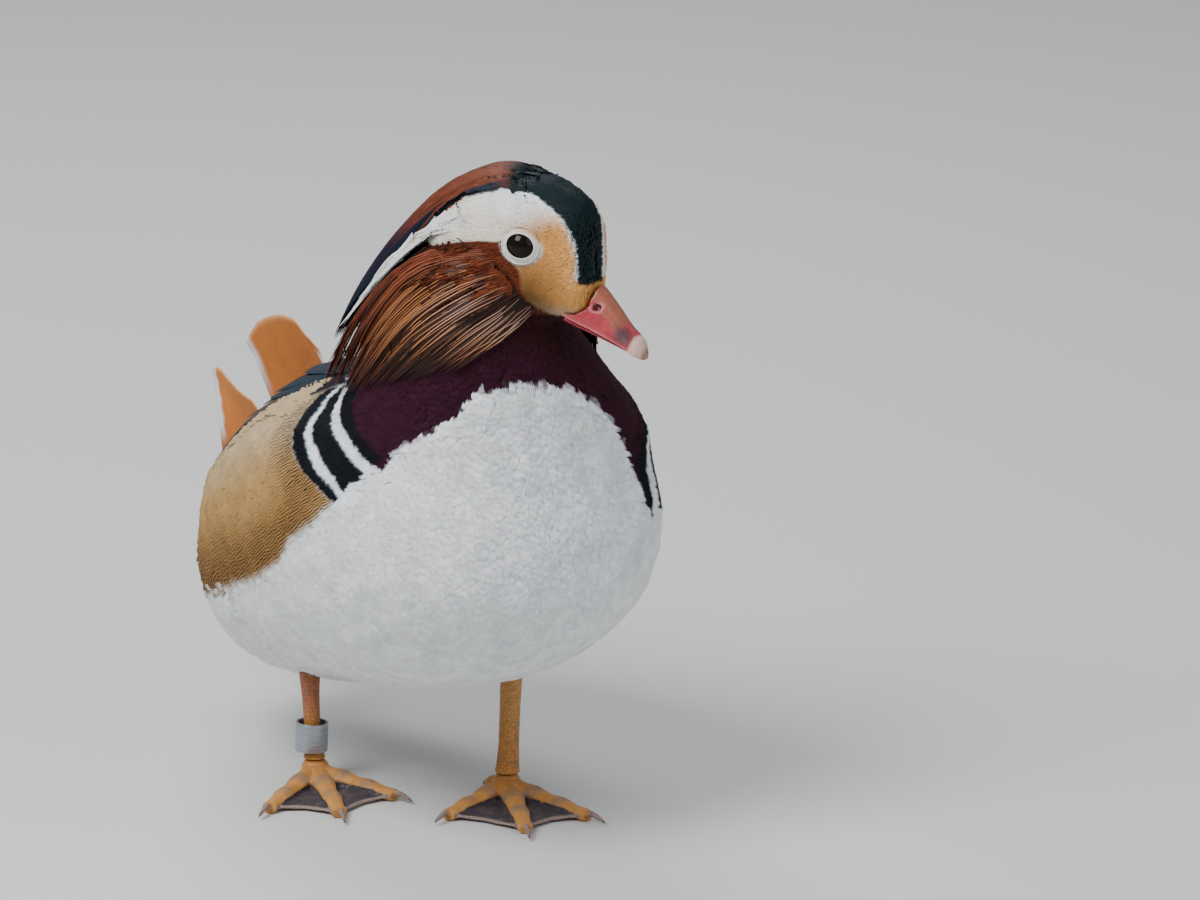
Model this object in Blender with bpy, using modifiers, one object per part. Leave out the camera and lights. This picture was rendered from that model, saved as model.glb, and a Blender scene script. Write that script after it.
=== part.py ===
"""Mandarin drake, a still life-size model standing on both feet with its head turned left.

Metres, +Z up. The bird faces -Y, its left is +X, and the floor is z = 0. Three frames carry it:
the world frame between the feet, the body frame tilted tail down, and the head frame turned and dipped.
In the body and head frames x points left, y back towards the tail and z up. At the end every node
moves alike, so that the origin is under the middle of the bounding box.
"""

import math

import bmesh
import bpy
from mathutils import Euler, Matrix, Vector
from mathutils.bvhtree import BVHTree

MM = 0.001
GAP = 0.3 * MM  # kept between pieces that touch

# Where the body, head and feet are, and how they turn
BODY_CENTRE = Vector((0, 0, 95)) * MM
BODY_PITCH = math.radians(25)  # tail down
HEAD_CENTRE = Vector((4, -73, 212)) * MM
HEAD_TURN = math.radians(33)  # to the left
HEAD_DIP = math.radians(14)

BODY = Matrix.Translation(BODY_CENTRE) @ Matrix.Rotation(-BODY_PITCH, 4, "X")
HEAD = (
    Matrix.Translation(HEAD_CENTRE)
    @ Matrix.Rotation(HEAD_TURN, 4, "Z")
    @ Matrix.Rotation(HEAD_DIP, 4, "X")
)
WORLD = Matrix.Identity(4)

# The trunk, as (distance forward of its centre, half width, rise above and drop below the axis)
TRUNK_OUTLINE = (
    (102, 12, -4, -24),
    (97, 33, 16, -44),
    (82, 51, 36, -57),
    (56, 61, 47, -63),
    (20, 64, 51, -62),
    (-20, 63, 53, -53),
    (-56, 57.5, 49, -43),
    (-86, 44, 38, -36),
    (-108, 29, 26, -24),
    (-120, 12, 15, -6),
)
# The neck, as (x, y, z of its middle, half width, half depth)
NECK_RINGS = (
    (2, -44, 108, 56, 56.5),
    (2, -46, 122, 57, 53.5),
    (2, -48, 136, 55.5, 48),
    (1, -50, 147, 50.5, 43),
    (-1, -52, 158, 43.5, 38.5),
    (-5, -55, 178, 32, 32),
    (-6, -58, 194, 25, 26),
    (-3, -61, 206, 19, 20),
)
# The head, as (distance forward of its centre, half width, top, bottom)
HEAD_OUTLINE = (
    (31.5, 5.5, -7, -19.5),
    (29.5, 8.2, -2, -21.5),
    (27.5, 10, 7, -22.5),
    (24, 12.4, 14, -23.5),
    (18, 15.2, 18.4, -26),
    (10, 17.8, 20.2, -28),
    (1, 19.8, 20.4, -29.5),
    (-9, 20.3, 17.4, -30),
    (-20, 18, 10.5, -28),
    (-29, 13, 0, -22),
)
# The upper bill, as (distance forward, half width, culmen height, height of the mouth line)
UPPER_BILL_OUTLINE = (
    (19, 9.2, -5.5, -19.4),
    (24, 8.7, -5.6, -20.2),
    (28, 7.8, -6.4, -21.2),
    (33, 6.6, -8.9, -22.0),
    (39.4, 6.0, -13.3, -22.8),
    (45, 5.7, -17.8, -23.6),
    (49.5, 5.1, -20.0, -24.8),
    (52.3, 3.6, -21.8, -26.6),
    (53.6, 1.6, -24.2, -26.6),
)
LOWER_BILL_OUTLINE = (
    (19, 7.4, -19.4, -23.2),
    (24, 7.2, -20.2, -23.9),
    (28, 6.6, -21.2, -24.3),
    (34, 5.6, -22.1, -24.6),
    (42, 4.9, -23.1, -25.2),
    (48.5, 3.4, -24.6, -26.0),
)
EYE_RADIUS = 5.6 * MM
EYE_PLACE = Vector((14.6, -7.8, 0.3)) * MM  # the left eye's middle, in the head frame
LID_RADIUS = 5.0 * MM
LID_THICKNESS = 0.9 * MM
NOSTRIL_PLACE = Vector((4.9, -34.4, -14.4)) * MM
NOSTRIL_SIZE = Vector((1.6, 1.9, 1.0)) * MM
MOUTH_BOW = 0.4  # how far the upper bill's underside hangs below the mouth line, in mm
MOUTH_GAP = 0.55

# Where the head leaves the neck (head frame) and the neck leaves the trunk (world)
HEAD_CUT = (Vector((0, 8, -24)) * MM, Vector((0, 0.45, -0.89)))
TRUNK_CUT = (Vector((0, -50, 156)) * MM, Vector((0, 0.15, 0.99)))

# The crest's outer edge seen from the side, as (back, up) in the head frame, crown to tip
CREST_EDGE = ((-3, 19.5), (6, 18.4), (16, 13.6), (29.5, 2), (41, -16), (49, -33), (54, -48), (57, -62))
CREST_HALF_WIDTH = ((0, 9), (0.35, 14), (0.7, 12), (1, 5))
CREST_ROUND = 15  # radius of the crest's back, seen from behind
# Tiers of crest feathers: (first and last share along the edge, count, half width, lift)
CREST_TIERS = ((0.34, 1.0, 6, 3.8, 0.2), (0.17, 0.80, 5, 4.4, 1.3), (0.0, 0.55, 4, 5.0, 2.2))
# The crest's core, as (back, up, half width, half depth) in the head frame
CREST_CORE = ((-4, 12, 7, 5), (7, 12, 11, 5.5), (18, 5.5, 13, 5.5), (28, -6, 13, 5), (36, -17.5, 10, 4.5))

# Cheek ruff: its first, middle and last feather, from the eye's corner to the chin. Each has its
# root in the head frame, and its bend, its fall and its tip in the world.
RUFF_RIGHT = (
    ((-18.5, 4, -4), (-32, -54, 210), (-42, -36, 178), (-48, -26, 153)),
    ((-19, -6, -10), (-27, -76, 198), (-38, -60, 174), (-41, -50, 155)),
    ((-14, -17, -22), (-8, -90, 182), (-17, -87, 178), (-24, -78, 173)),
)
RUFF_LEFT = (
    ((18.5, 4, -4), (24, -42, 204), (31, -28, 180), (34, -20, 157)),
    ((19, -6, -10), (32, -55, 198), (44, -46, 174), (47, -40, 154)),
    ((14, -15, -22), (26, -67, 188), (29, -64, 182), (31, -61, 174)),
)
# Tiers of ruff feathers: (share of the rail where they start, share they reach, count, half width, lift)
RUFF_TIERS = ((0.16, 1.0, 9, 4.0, 0.8), (0.07, 0.74, 7, 3.8, 1.9), (0.0, 0.46, 4, 3.8, 2.8))
RUFF_CORE_PLACE = Vector((13, 5, -14)) * MM
RUFF_CORE_SIZE = Vector((9.5, 17, 12)) * MM

# Folded wing: its plate on the trunk, as (forward, lower angle, upper angle, thickness)
WING_PLATE = (
    (50, 46, 60, 1.0),
    (38, 34, 70, 4.5),
    (10, 28, 74, 5.5),
    (-25, 28, 74, 5.5),
    (-60, 30, 72, 5.0),
    (-88, 36, 68, 3.0),
    (-100, 44, 60, 1.0),
)
# Wing feather tiers in the body frame, (x, y, z) of root, bend and tip for the first and last
# feather of the tier, then count, half width and the lifts at root and tip. x is for the left.
WING_TIERS = {
    "shoulder": (
        ((50, -22, 36), (55, 4, 33), (57, 26, 27)),
        ((20, -22, 54), (22, 6, 56), (22, 34, 56)),
        5, 8.0, (4.0, 6.8),
    ),
    "scapular": (
        ((33, -24, 48), (31, 2, 52), (27, 30, 50)),
        ((9.5, -24, 56), (9.5, 4, 60), (8.5, 36, 58)),
        4, 7.5, (6.0, 10.5),
    ),
    "covert": (
        ((54, 18, 30), (52, 42, 30), (43, 66, 28)),
        ((19, 18, 54), (20, 45, 55), (19, 72, 52)),
        5, 7.5, (3.6, 5.4),
    ),
    "flight": (
        ((46, 52, 30), (39, 84, 31), (23, 112, 31)),
        ((15, 52, 50), (14, 86, 50), (9, 126, 44)),
        6, 5.6, (2.0, 6.0),
    ),
}

# The sail feathers, in the world: front base, rear base, rear top, front top, top edge's rise
SAILS = {
    "sail_right": ((-22, 70, 104), (-20, 112, 86), (-25, 112, 130), (-24, 73, 121), -3.0),
    "sail_left": ((12, 68, 106), (8, 116, 88), (-7, 123, 134), (1, 90, 142), 5.0),
}
SAIL_THICKNESS = 1.1 * MM
SAIL_BULGE = 3 * MM  # how far its web curves out to the left
SAIL_CORNER = 3.5 * MM  # how far the two top corners are drawn down
SAIL_CELLS = 6

# Tail, in the body frame
TAIL_FEATHERS = 12
TAIL_ROOT = Vector((3, 92, 12))
TAIL_BEND = Vector((13, 120, 20))
TAIL_TIP = Vector((21, 144, 26))
TAIL_LENGTHEN = 4  # how much further back the middle feathers reach
TAIL_ARCH = 3.0  # how much higher the middle feathers lie
TAIL_CANT = 0.35  # how far the outermost feathers lean outwards
TAIL_SWING = 7  # how far the tail's end lies to the left
TAIL_HALF_WIDTH = 6.0
TAIL_CORE = ((88, 18, 20, -6), (104, 19, 24, 4), (116, 14, 26, 13), (124, 8, 26, 18))

# Legs, in the world: rings of (x, y, z, radius) from the belly to the foot
LEGS = {
    "leg_right": (
        (-27.4, 31, 60, 5.4), (-27.4, 30, 50, 4.8), (-27.6, 29, 40, 3.9), (-27.8, 27.6, 30, 3.1),
        (-28, 26.2, 20, 2.9), (-28, 25, 12, 3.1), (-28, 24.5, 8.6, 4.0),
    ),
    "leg_left": (
        (29.5, -12, 66, 5.0), (28.8, -13.5, 54, 4.4), (27.4, -15, 42, 3.9), (26, -16.6, 30, 3.6),
        (24.6, -18.4, 18, 3.6), (23.6, -19.6, 11, 4.0), (23.2, -20, 8.6, 4.5),
    ),
}
# Feet: the joint's place, then each toe as (degrees left of straight ahead, length); outer toe first
FEET = {
    "foot_right": ((-28, 24), ((-49, 43), (-14, 47), (25, 39)), 158),
    "foot_left": ((23, -20), ((17, 44), (-18, 48), (-62, 38)), -168),
}
FOOT_TOP = 8.3 * MM
JOINT_RADIUS = 5.0
# A toe's (share of length, height of its middle, radius)
TOE_RINGS = (
    (0.0, 4.6, 3.6), (0.16, 3.7, 3.1), (0.32, 3.4, 3.4), (0.46, 2.8, 2.7),
    (0.62, 2.7, 3.0), (0.76, 2.2, 2.3), (0.90, 2.1, 2.2),
)
CLAW_RINGS = ((0.88, 3.0, 1.3), (0.97, 3.0, 1.15), (1.05, 2.2, 0.8), (1.10, 1.2, 0.35))
TOE_FLAT = 1.25  # how much wider than high a toe is
WEB_REACH = 0.88
WEB_HOLLOW = 0.16
WEB_HEIGHT = 1.7 * MM
WEB_THICKNESS = 1.0 * MM
HALLUX_LENGTH = 11

RING_HEIGHT = 10 * MM
RING_INSIDE = 4.8 * MM
RING_WALL = 0.8 * MM
RING_MIDDLE = 16.5 * MM
RING_LEAN = math.radians(3)
RING_OFFSET = Vector((-0.7, -0.5, 0)) * MM

# What each part is finished in: colour, roughness, metallic
FINISHES = {
    "white_plumage": ((0.80, 0.82, 0.84), 0.85, 0.0),
    "maroon_plumage": ((0.09, 0.02, 0.035), 0.6, 0.0),
    "cream_plumage": ((0.78, 0.60, 0.38), 0.8, 0.0),
    "crest_plumage": ((0.20, 0.05, 0.03), 0.5, 0.0),
    "rust_plumage": ((0.33, 0.09, 0.03), 0.6, 0.0),
    "wing_plumage": ((0.06, 0.07, 0.07), 0.5, 0.0),
    "orange_sail": ((0.52, 0.20, 0.07), 0.6, 0.0),
    "tail_plumage": ((0.07, 0.06, 0.05), 0.6, 0.0),
    "red_bill": ((0.50, 0.08, 0.09), 0.4, 0.0),
    "dark_eye": ((0.01, 0.008, 0.007), 0.05, 0.0),
    "orange_leg": ((0.60, 0.28, 0.08), 0.5, 0.0),
    "leg_ring": ((0.55, 0.57, 0.60), 0.35, 1.0),
}
NODE_FINISHES = {
    "torso": "white_plumage",
    "neck": "maroon_plumage",
    "head": "cream_plumage",
    "crest": "crest_plumage",
    "ruff_left": "rust_plumage",
    "ruff_right": "rust_plumage",
    "bill_upper": "red_bill",
    "bill_lower": "red_bill",
    "eye_left": "dark_eye",
    "eye_right": "dark_eye",
    "wing_left": "wing_plumage",
    "wing_right": "wing_plumage",
    "sail_left": "orange_sail",
    "sail_right": "orange_sail",
    "tail": "tail_plumage",
    "leg_left": "orange_leg",
    "leg_right": "orange_leg",
    "foot_left": "orange_leg",
    "foot_right": "orange_leg",
    "leg_ring": "leg_ring",
}


def clear_scene():
    """Removes the startup scene's objects."""
    for obj in list(bpy.data.objects):
        bpy.data.objects.remove(obj)


def new_collection(name):
    collection = bpy.data.collections.new(name)
    bpy.context.scene.collection.children.link(collection)
    return collection


def finish(name):
    """The material of that name, made once."""
    found = bpy.data.materials.get(name)
    if found:
        return found
    colour, roughness, metallic = FINISHES[name]
    material = bpy.data.materials.new(name)
    material.use_nodes = True
    shader = material.node_tree.nodes["Principled BSDF"]
    shader.inputs["Base Color"].default_value = (*colour, 1)
    shader.inputs["Roughness"].default_value = roughness
    shader.inputs["Metallic"].default_value = metallic
    return material


def curve_value(keys, at):
    """A smooth curve through (place, value...) keys, read at one place. Keys may rise or fall."""
    keys = sorted(keys)
    at = min(max(at, keys[0][0]), keys[-1][0])
    i = max(k for k in range(len(keys) - 1) if keys[k][0] <= at)
    span = keys[i + 1][0] - keys[i][0]
    t = (at - keys[i][0]) / span

    def slope(k, column):
        low, high = max(k - 1, 0), min(k + 1, len(keys) - 1)
        return (keys[high][column] - keys[low][column]) / (keys[high][0] - keys[low][0])

    values = []
    for column in range(1, len(keys[0])):
        a, b = keys[i][column], keys[i + 1][column]
        da, db = slope(i, column) * span, slope(i + 1, column) * span
        values.append(
            a * (2 * t**3 - 3 * t**2 + 1)
            + da * (t**3 - 2 * t**2 + t)
            + b * (3 * t**2 - 2 * t**3)
            + db * (t**3 - t**2)
        )
    return values


def add_object(name, mesh, collection):
    obj = bpy.data.objects.new(name, mesh)
    collection.objects.link(obj)
    return obj


def loft(name, rings, collection):
    """A closed body through rings of points in the world, each with the same number of points."""
    shape = bmesh.new()
    rows = [[shape.verts.new(p) for p in ring] for ring in rings]
    count = len(rows[0])
    for low, high in zip(rows, rows[1:]):
        for k in range(count):
            m = (k + 1) % count
            shape.faces.new((low[k], low[m], high[m]))
            shape.faces.new((low[k], high[m], high[k]))
    for row in (rows[0], rows[-1]):
        middle = shape.verts.new(sum((v.co for v in row), Vector()) / count)
        for k in range(count):
            shape.faces.new((row[k], row[(k + 1) % count], middle))
    bmesh.ops.recalc_face_normals(shape, faces=shape.faces)
    mesh = bpy.data.meshes.new(name)
    shape.to_mesh(mesh)
    shape.free()
    return add_object(name, mesh, collection)


def oval(half_width, top, bottom, count, power=2.2):
    """Points (sideways, up) round an oval from top to bottom, fuller than an ellipse above power 2."""
    middle = (top + bottom) / 2
    points = []
    for k in range(count):
        angle = 2 * math.pi * (k + 0.5) / count
        c, s = math.cos(angle), math.sin(angle)
        x = half_width * math.copysign(abs(c) ** (2 / power), c)
        z = middle + (top - bottom) / 2 * math.copysign(abs(s) ** (2 / power), s)
        points.append((x, z))
    return points


def sectioned_body(name, outline, frame, steps, count, collection, power=2.2):
    """A loft along the frame's y axis through ovals read from an outline."""
    first, last = outline[0][0], outline[-1][0]
    rings = []
    for i in range(steps + 1):
        forward = first + (last - first) * 0.5 * (1 - math.cos(math.pi * i / steps))
        half_width, top, bottom = curve_value(outline, forward)
        rings.append(
            [
                frame @ (Vector((x, -forward, z)) * MM)
                for x, z in oval(half_width, top, bottom, count, power)
            ]
        )
    return loft(name, rings, collection)


def apply_modifiers(obj):
    """Replaces the object's mesh by what its modifiers make of it."""
    graph = bpy.context.evaluated_depsgraph_get()
    graph.update()
    mesh = bpy.data.meshes.new_from_object(obj.evaluated_get(graph))
    obj.modifiers.clear()
    old, obj.data = obj.data, mesh
    bpy.data.meshes.remove(old)


def duplicate(obj, name, collection):
    return add_object(name, obj.data.copy(), collection)


def combine(target, other, operation):
    """One Boolean of target with another object, applied."""
    modifier = target.modifiers.new("combine", "BOOLEAN")
    modifier.operation = operation
    modifier.solver = "MANIFOLD"
    modifier.object = other
    apply_modifiers(target)


def join_pieces(target, pieces, clearances=None):
    """Fuses a collection of closed pieces into target and removes them.

    Given a collection for clearances, it also leaves there and returns the same body with every piece
    grown by the gap, for cutting neighbours clear.
    """
    clear = None
    if clearances:
        clear = grown(target, "clear " + target.name, GAP, clearances)
        bigger = new_collection("Grown pieces")
        for piece in pieces.objects:
            grown(piece, "grown piece", GAP, bigger)
        join_pieces(clear, bigger)
    modifier = target.modifiers.new("join", "BOOLEAN")
    modifier.operation = "UNION"
    modifier.solver = "MANIFOLD"
    modifier.operand_type = "COLLECTION"
    modifier.collection = pieces
    apply_modifiers(target)
    for piece in list(pieces.objects):
        bpy.data.objects.remove(piece)
    bpy.data.collections.remove(pieces)
    return clear


def keep_largest(obj):
    """Keeps only the largest closed surface of the object."""
    shape = bmesh.new()
    shape.from_mesh(obj.data)
    left, best = set(shape.verts), []
    while left:
        seed = left.pop()
        island, edge = [seed], [seed]
        while edge:
            for link in edge.pop().link_edges:
                for vert in link.verts:
                    if vert in left:
                        left.remove(vert)
                        island.append(vert)
                        edge.append(vert)
        if len(island) > len(best):
            best = island
    kept = set(best)
    bmesh.ops.delete(shape, geom=[v for v in shape.verts if v not in kept], context="VERTS")
    shape.to_mesh(obj.data)
    shape.free()


def grown(obj, name, by, collection):
    """A copy whose faces are moved outwards, for cutting a neighbour clear of it."""
    copy = duplicate(obj, name, collection)
    shape = bmesh.new()
    shape.from_mesh(copy.data)
    shape.normal_update()
    moves = [v.normal * by * min(v.calc_shell_factor(), 3) for v in shape.verts]
    for vert, move in zip(shape.verts, moves):
        vert.co += move
    shape.to_mesh(copy.data)
    shape.free()
    return copy


def halved(obj, name, point, normal, collection):
    """A copy of what lies behind a plane, closed with a flat face."""
    shape = bmesh.new()
    shape.from_mesh(obj.data)
    cut = bmesh.ops.bisect_plane(
        shape,
        geom=shape.verts[:] + shape.edges[:] + shape.faces[:],
        plane_co=point,
        plane_no=normal,
        clear_outer=True,
    )
    rim = [e for e in cut["geom_cut"] if isinstance(e, bmesh.types.BMEdge)]
    bmesh.ops.triangle_fill(shape, edges=rim, use_beauty=True)
    bmesh.ops.recalc_face_normals(shape, faces=shape.faces)
    mesh = bpy.data.meshes.new(name)
    shape.to_mesh(mesh)
    shape.free()
    return add_object(name, mesh, collection)


def surface_of(obj):
    """A search tree of the object's surface, in the world."""
    shape = bmesh.new()
    shape.from_mesh(obj.data)
    tree = BVHTree.FromBMesh(shape)
    shape.free()
    return tree


def lifted(surface, place, lift):
    """(place pushed out until it is at least lift from the surface, the surface's normal there)."""
    near, normal, _, _ = surface.find_nearest(place)
    height = (place - near).dot(normal)
    if height < lift:
        place = near + normal * lift
    return place, normal


def bent_line(points, t):
    """A point on the Bezier curve that these points steer."""
    points = list(points)
    while len(points) > 1:
        points = [a.lerp(b, t) for a, b in zip(points, points[1:])]
    return points[0]


def vane_width(t):
    """A contour or flight feather's share of its full width, t from root to tip."""
    return (0.45 + 0.55 * math.sin(math.pi * min(t * 1.1, 0.62) / 1.24)) * (1 - t**6) ** 0.5


def lock_width(t):
    """A long loose crest or cheek feather's share of its full width."""
    return (0.5 + 0.5 * math.sin(math.pi * min(1, 2.2 * t) / 2)) * (1 - t**2.2) ** 0.8


def blade(name, stations, collection):
    """A thin closed blade through (middle, sideways, outwards, half width, half thickness, camber).

    The last station is its tip. Both faces are split into triangles along the same diagonals.
    """
    shape = bmesh.new()
    rows = []
    for middle, across, out, half_width, half_thick, camber in stations[:-1]:
        drop = out * camber
        rows.append(
            [
                shape.verts.new(middle + across * half_width - drop),
                shape.verts.new(middle + out * half_thick),
                shape.verts.new(middle - across * half_width - drop),
                shape.verts.new(middle - out * half_thick),
            ]
        )
    tip = shape.verts.new(stations[-1][0])
    for low, high in zip(rows, rows[1:]):
        for edge in (0, 2):
            for ridge in (1, 3):
                shape.faces.new((low[edge], low[ridge], high[ridge]))
                shape.faces.new((low[edge], high[ridge], high[edge]))
    shape.faces.new((rows[0][0], rows[0][1], rows[0][3]))
    shape.faces.new((rows[0][2], rows[0][3], rows[0][1]))
    for k in range(4):
        shape.faces.new((rows[-1][k], rows[-1][(k + 1) % 4], tip))
    bmesh.ops.recalc_face_normals(shape, faces=shape.faces)
    mesh = bpy.data.meshes.new(name)
    shape.to_mesh(mesh)
    shape.free()
    return add_object(name, mesh, collection)


def laid_line(surface, points, lifts, count):
    """(place, normal) pairs along the bent line of points, off the surface by lifts at root and tip."""
    line = []
    for i in range(count + 1):
        t = i / count
        lift = (lifts[0] + (lifts[1] - lifts[0]) * t) * MM
        line.append(lifted(surface, bent_line(points, t), lift))
    return line


def feather(pieces, line, half_width, width_of, thick=0.8, camber=0.0):
    """One feather along (place, normal) pairs. Widths, thickness and camber are in mm."""
    stations = []
    last = len(line) - 1
    for i, (place, normal) in enumerate(line):
        along = (line[min(i + 1, last)][0] - line[max(i - 1, 0)][0]).normalized()
        across = normal.cross(along).normalized()
        out = along.cross(across).normalized()
        share = width_of(i / last)
        stations.append(
            (place, across, out, half_width * share * MM, thick / 2 * MM, camber * share * MM)
        )
    return blade("feather", stations, pieces)


def spread_values(low, high, count):
    """Count values from low to high."""
    return [low + (high - low) * i / max(count - 1, 1) for i in range(count)]


def make_flesh(helpers):
    """The whole skin of trunk, neck and head, fused in one body."""
    whole = sectioned_body("whole", TRUNK_OUTLINE, BODY, 16, 24, helpers, 2.15)
    rings = []
    for x, y, z, half_width, half_depth in NECK_RINGS:
        rings.append(
            [
                Vector((x + a, y + b, z)) * MM
                for a, b in oval(half_width, half_depth, -half_depth, 24, 2.1)
            ]
        )
    pieces = new_collection("Flesh pieces")
    loft("neck piece", rings, pieces)
    sectioned_body("head piece", HEAD_OUTLINE, HEAD, 14, 20, pieces, 2.3)
    join_pieces(whole, pieces)
    whole.hide_render = True
    return whole


def make_flesh_nodes(whole, parts):
    """Parts the flesh into torso, neck and head with thin flat cuts."""
    head_point = HEAD @ HEAD_CUT[0]
    head_normal = HEAD.to_3x3() @ HEAD_CUT[1].normalized()
    trunk_point, trunk_normal = TRUNK_CUT[0], TRUNK_CUT[1].normalized()
    torso = halved(whole, "torso", trunk_point, trunk_normal, parts)
    head = halved(whole, "head", head_point, head_normal, parts)
    upper = halved(whole, "upper", trunk_point + trunk_normal * GAP, -trunk_normal, parts)
    neck = halved(upper, "neck", head_point + head_normal * GAP, -head_normal, parts)
    bpy.data.objects.remove(upper)
    for node in (torso, head, neck):
        keep_largest(node)
    return torso, head, neck


def ball(name, place, size, collection, segments=14, rings=9, turn=None):
    """A ball of the given half sizes."""
    mesh = bpy.data.meshes.new(name)
    shape = bmesh.new()
    bmesh.ops.create_uvsphere(shape, u_segments=segments, v_segments=rings, radius=1)
    matrix = Matrix.Translation(place) @ (turn or WORLD) @ Matrix.Diagonal((*size, 1))
    bmesh.ops.transform(shape, matrix=matrix, verts=shape.verts)
    shape.to_mesh(mesh)
    shape.free()
    return add_object(name, mesh, collection)


def make_eyes(head, parts, helpers):
    """Eyeballs in sockets with a raised rim of lid round each."""
    for side, name in ((1, "eye_left"), (-1, "eye_right")):
        middle = HEAD @ Vector((EYE_PLACE.x * side, EYE_PLACE.y, EYE_PLACE.z))
        outwards = (HEAD.to_3x3() @ Vector((side, -0.28, 0.12))).normalized()
        turn = outwards.to_track_quat("Z", "Y")
        rise = math.sqrt((EYE_RADIUS + GAP) ** 2 - LID_RADIUS**2) + LID_THICKNESS * 0.4
        bpy.ops.mesh.primitive_torus_add(
            major_segments=16,
            minor_segments=5,
            major_radius=LID_RADIUS,
            minor_radius=LID_THICKNESS,
            location=middle + outwards * rise,
            rotation=turn.to_euler(),
        )
        lid = bpy.context.object
        lid.data.transform(lid.matrix_world)
        lid.matrix_world = WORLD
        combine(head, lid, "UNION")
        bpy.data.objects.remove(lid)
        reach = EYE_RADIUS + GAP
        socket = ball("socket", middle, (reach,) * 3, helpers)
        combine(head, socket, "DIFFERENCE")
        bpy.data.objects.remove(socket)
        ball(name, middle, (EYE_RADIUS,) * 3, parts)
    keep_largest(head)


def bill_half(name, outline, above, collection):
    """One half of the bill: domed away from the mouth and nearly flat along it."""
    rings = []
    steps, count = 13, 14
    for i in range(steps + 1):
        share = i / steps
        forward = outline[0][0] + (outline[-1][0] - outline[0][0]) * share
        half_width, high, low = curve_value(outline, forward)
        mouth, far = (low, high) if above else (high - MOUTH_GAP, low)
        ring = []
        for k in range(count):
            angle = 2 * math.pi * (k + 0.5) / count
            c, s = math.cos(angle), math.sin(angle)
            x = half_width * math.copysign(abs(c) ** 0.9, c)
            domed = s > 0 if above else s < 0
            z = mouth + (far - mouth) * abs(s) ** 0.9 if domed else mouth - MOUTH_BOW * abs(s)
            ring.append(HEAD @ (Vector((x, -forward, z)) * MM))
        rings.append(ring)
    return loft(name, rings, collection)


def make_bill(clear_head, parts, helpers):
    """Upper bill with open nostrils, and lower bill."""
    upper = bill_half("bill_upper", UPPER_BILL_OUTLINE, True, parts)
    lower = bill_half("bill_lower", LOWER_BILL_OUTLINE, False, parts)
    for side in (1, -1):
        place = HEAD @ Vector((NOSTRIL_PLACE.x * side, NOSTRIL_PLACE.y, NOSTRIL_PLACE.z))
        turn = HEAD.to_3x3().to_4x4() @ Matrix.Rotation(math.radians(28), 4, "X")
        hole = ball("nostril", place, NOSTRIL_SIZE, helpers, 10, 6, turn)
        combine(upper, hole, "DIFFERENCE")
        bpy.data.objects.remove(hole)
    for half in (upper, lower):
        combine(half, clear_head, "DIFFERENCE")
        keep_largest(half)
    return upper, lower


def crest_point(share, sideways, lift):
    """(place, outward normal) on the crest's back, share of the way from crown to tip, in the world."""
    keys = [(k / (len(CREST_EDGE) - 1), *edge) for k, edge in enumerate(CREST_EDGE)]
    back, up = curve_value(keys, share)
    before = curve_value(keys, max(share - 0.02, 0))
    after = curve_value(keys, min(share + 0.02, 1))
    along = Vector((0, after[0] - before[0], after[1] - before[1])).normalized()
    outward = Vector((1, 0, 0)).cross(along)
    angle = sideways / CREST_ROUND
    sunk = CREST_ROUND * (1 - math.cos(angle))
    place = Vector((CREST_ROUND * math.sin(angle), back, up)) + outward * (lift - sunk)
    normal = Vector((math.sin(angle), 0, 0)) + outward * math.cos(angle)
    return HEAD @ (place * MM), (HEAD.to_3x3() @ normal).normalized()


def make_crest(skin, clear_flesh, parts, helpers):
    """Crest of overlapping long feathers over the crown and nape, rooted in a slim core."""
    rings = []
    middles = [Vector((0, back, up)) for back, up, _, _ in CREST_CORE]
    for k, (_, _, half_width, half_depth) in enumerate(CREST_CORE):
        along = (middles[min(k + 1, 4)] - middles[max(k - 1, 0)]).normalized()
        outward = Vector((1, 0, 0)).cross(along)
        rings.append(
            [
                HEAD @ ((middles[k] + Vector((a, 0, 0)) + outward * b) * MM)
                for a, b in oval(half_width, half_depth, -half_depth, 12)
            ]
        )
    crest = loft("crest", rings, parts)
    pieces = new_collection("Crest feathers")
    count = 5
    for first, last, many, half_width, lift in CREST_TIERS:
        for share in spread_values(-1, 1, many):
            line = []
            for i in range(count + 1):
                at = first + (last - first) * i / count
                sideways = share * curve_value(CREST_HALF_WIDTH, at)[0]
                sunk = -3.5 * max(0, 1 - 3 * i / count)
                tail = 1.2 * (i / count) ** 2 - 0.5 * abs(share)
                place, normal = crest_point(at, sideways, lift + sunk + tail)
                line.append((lifted(skin, place, 0.8 * MM)[0], normal))
            feather(pieces, line, half_width, lock_width, 1.3, 0.5)
    clear = join_pieces(crest, pieces, helpers)
    combine(crest, clear_flesh, "DIFFERENCE")
    keep_largest(crest)
    return clear


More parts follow.
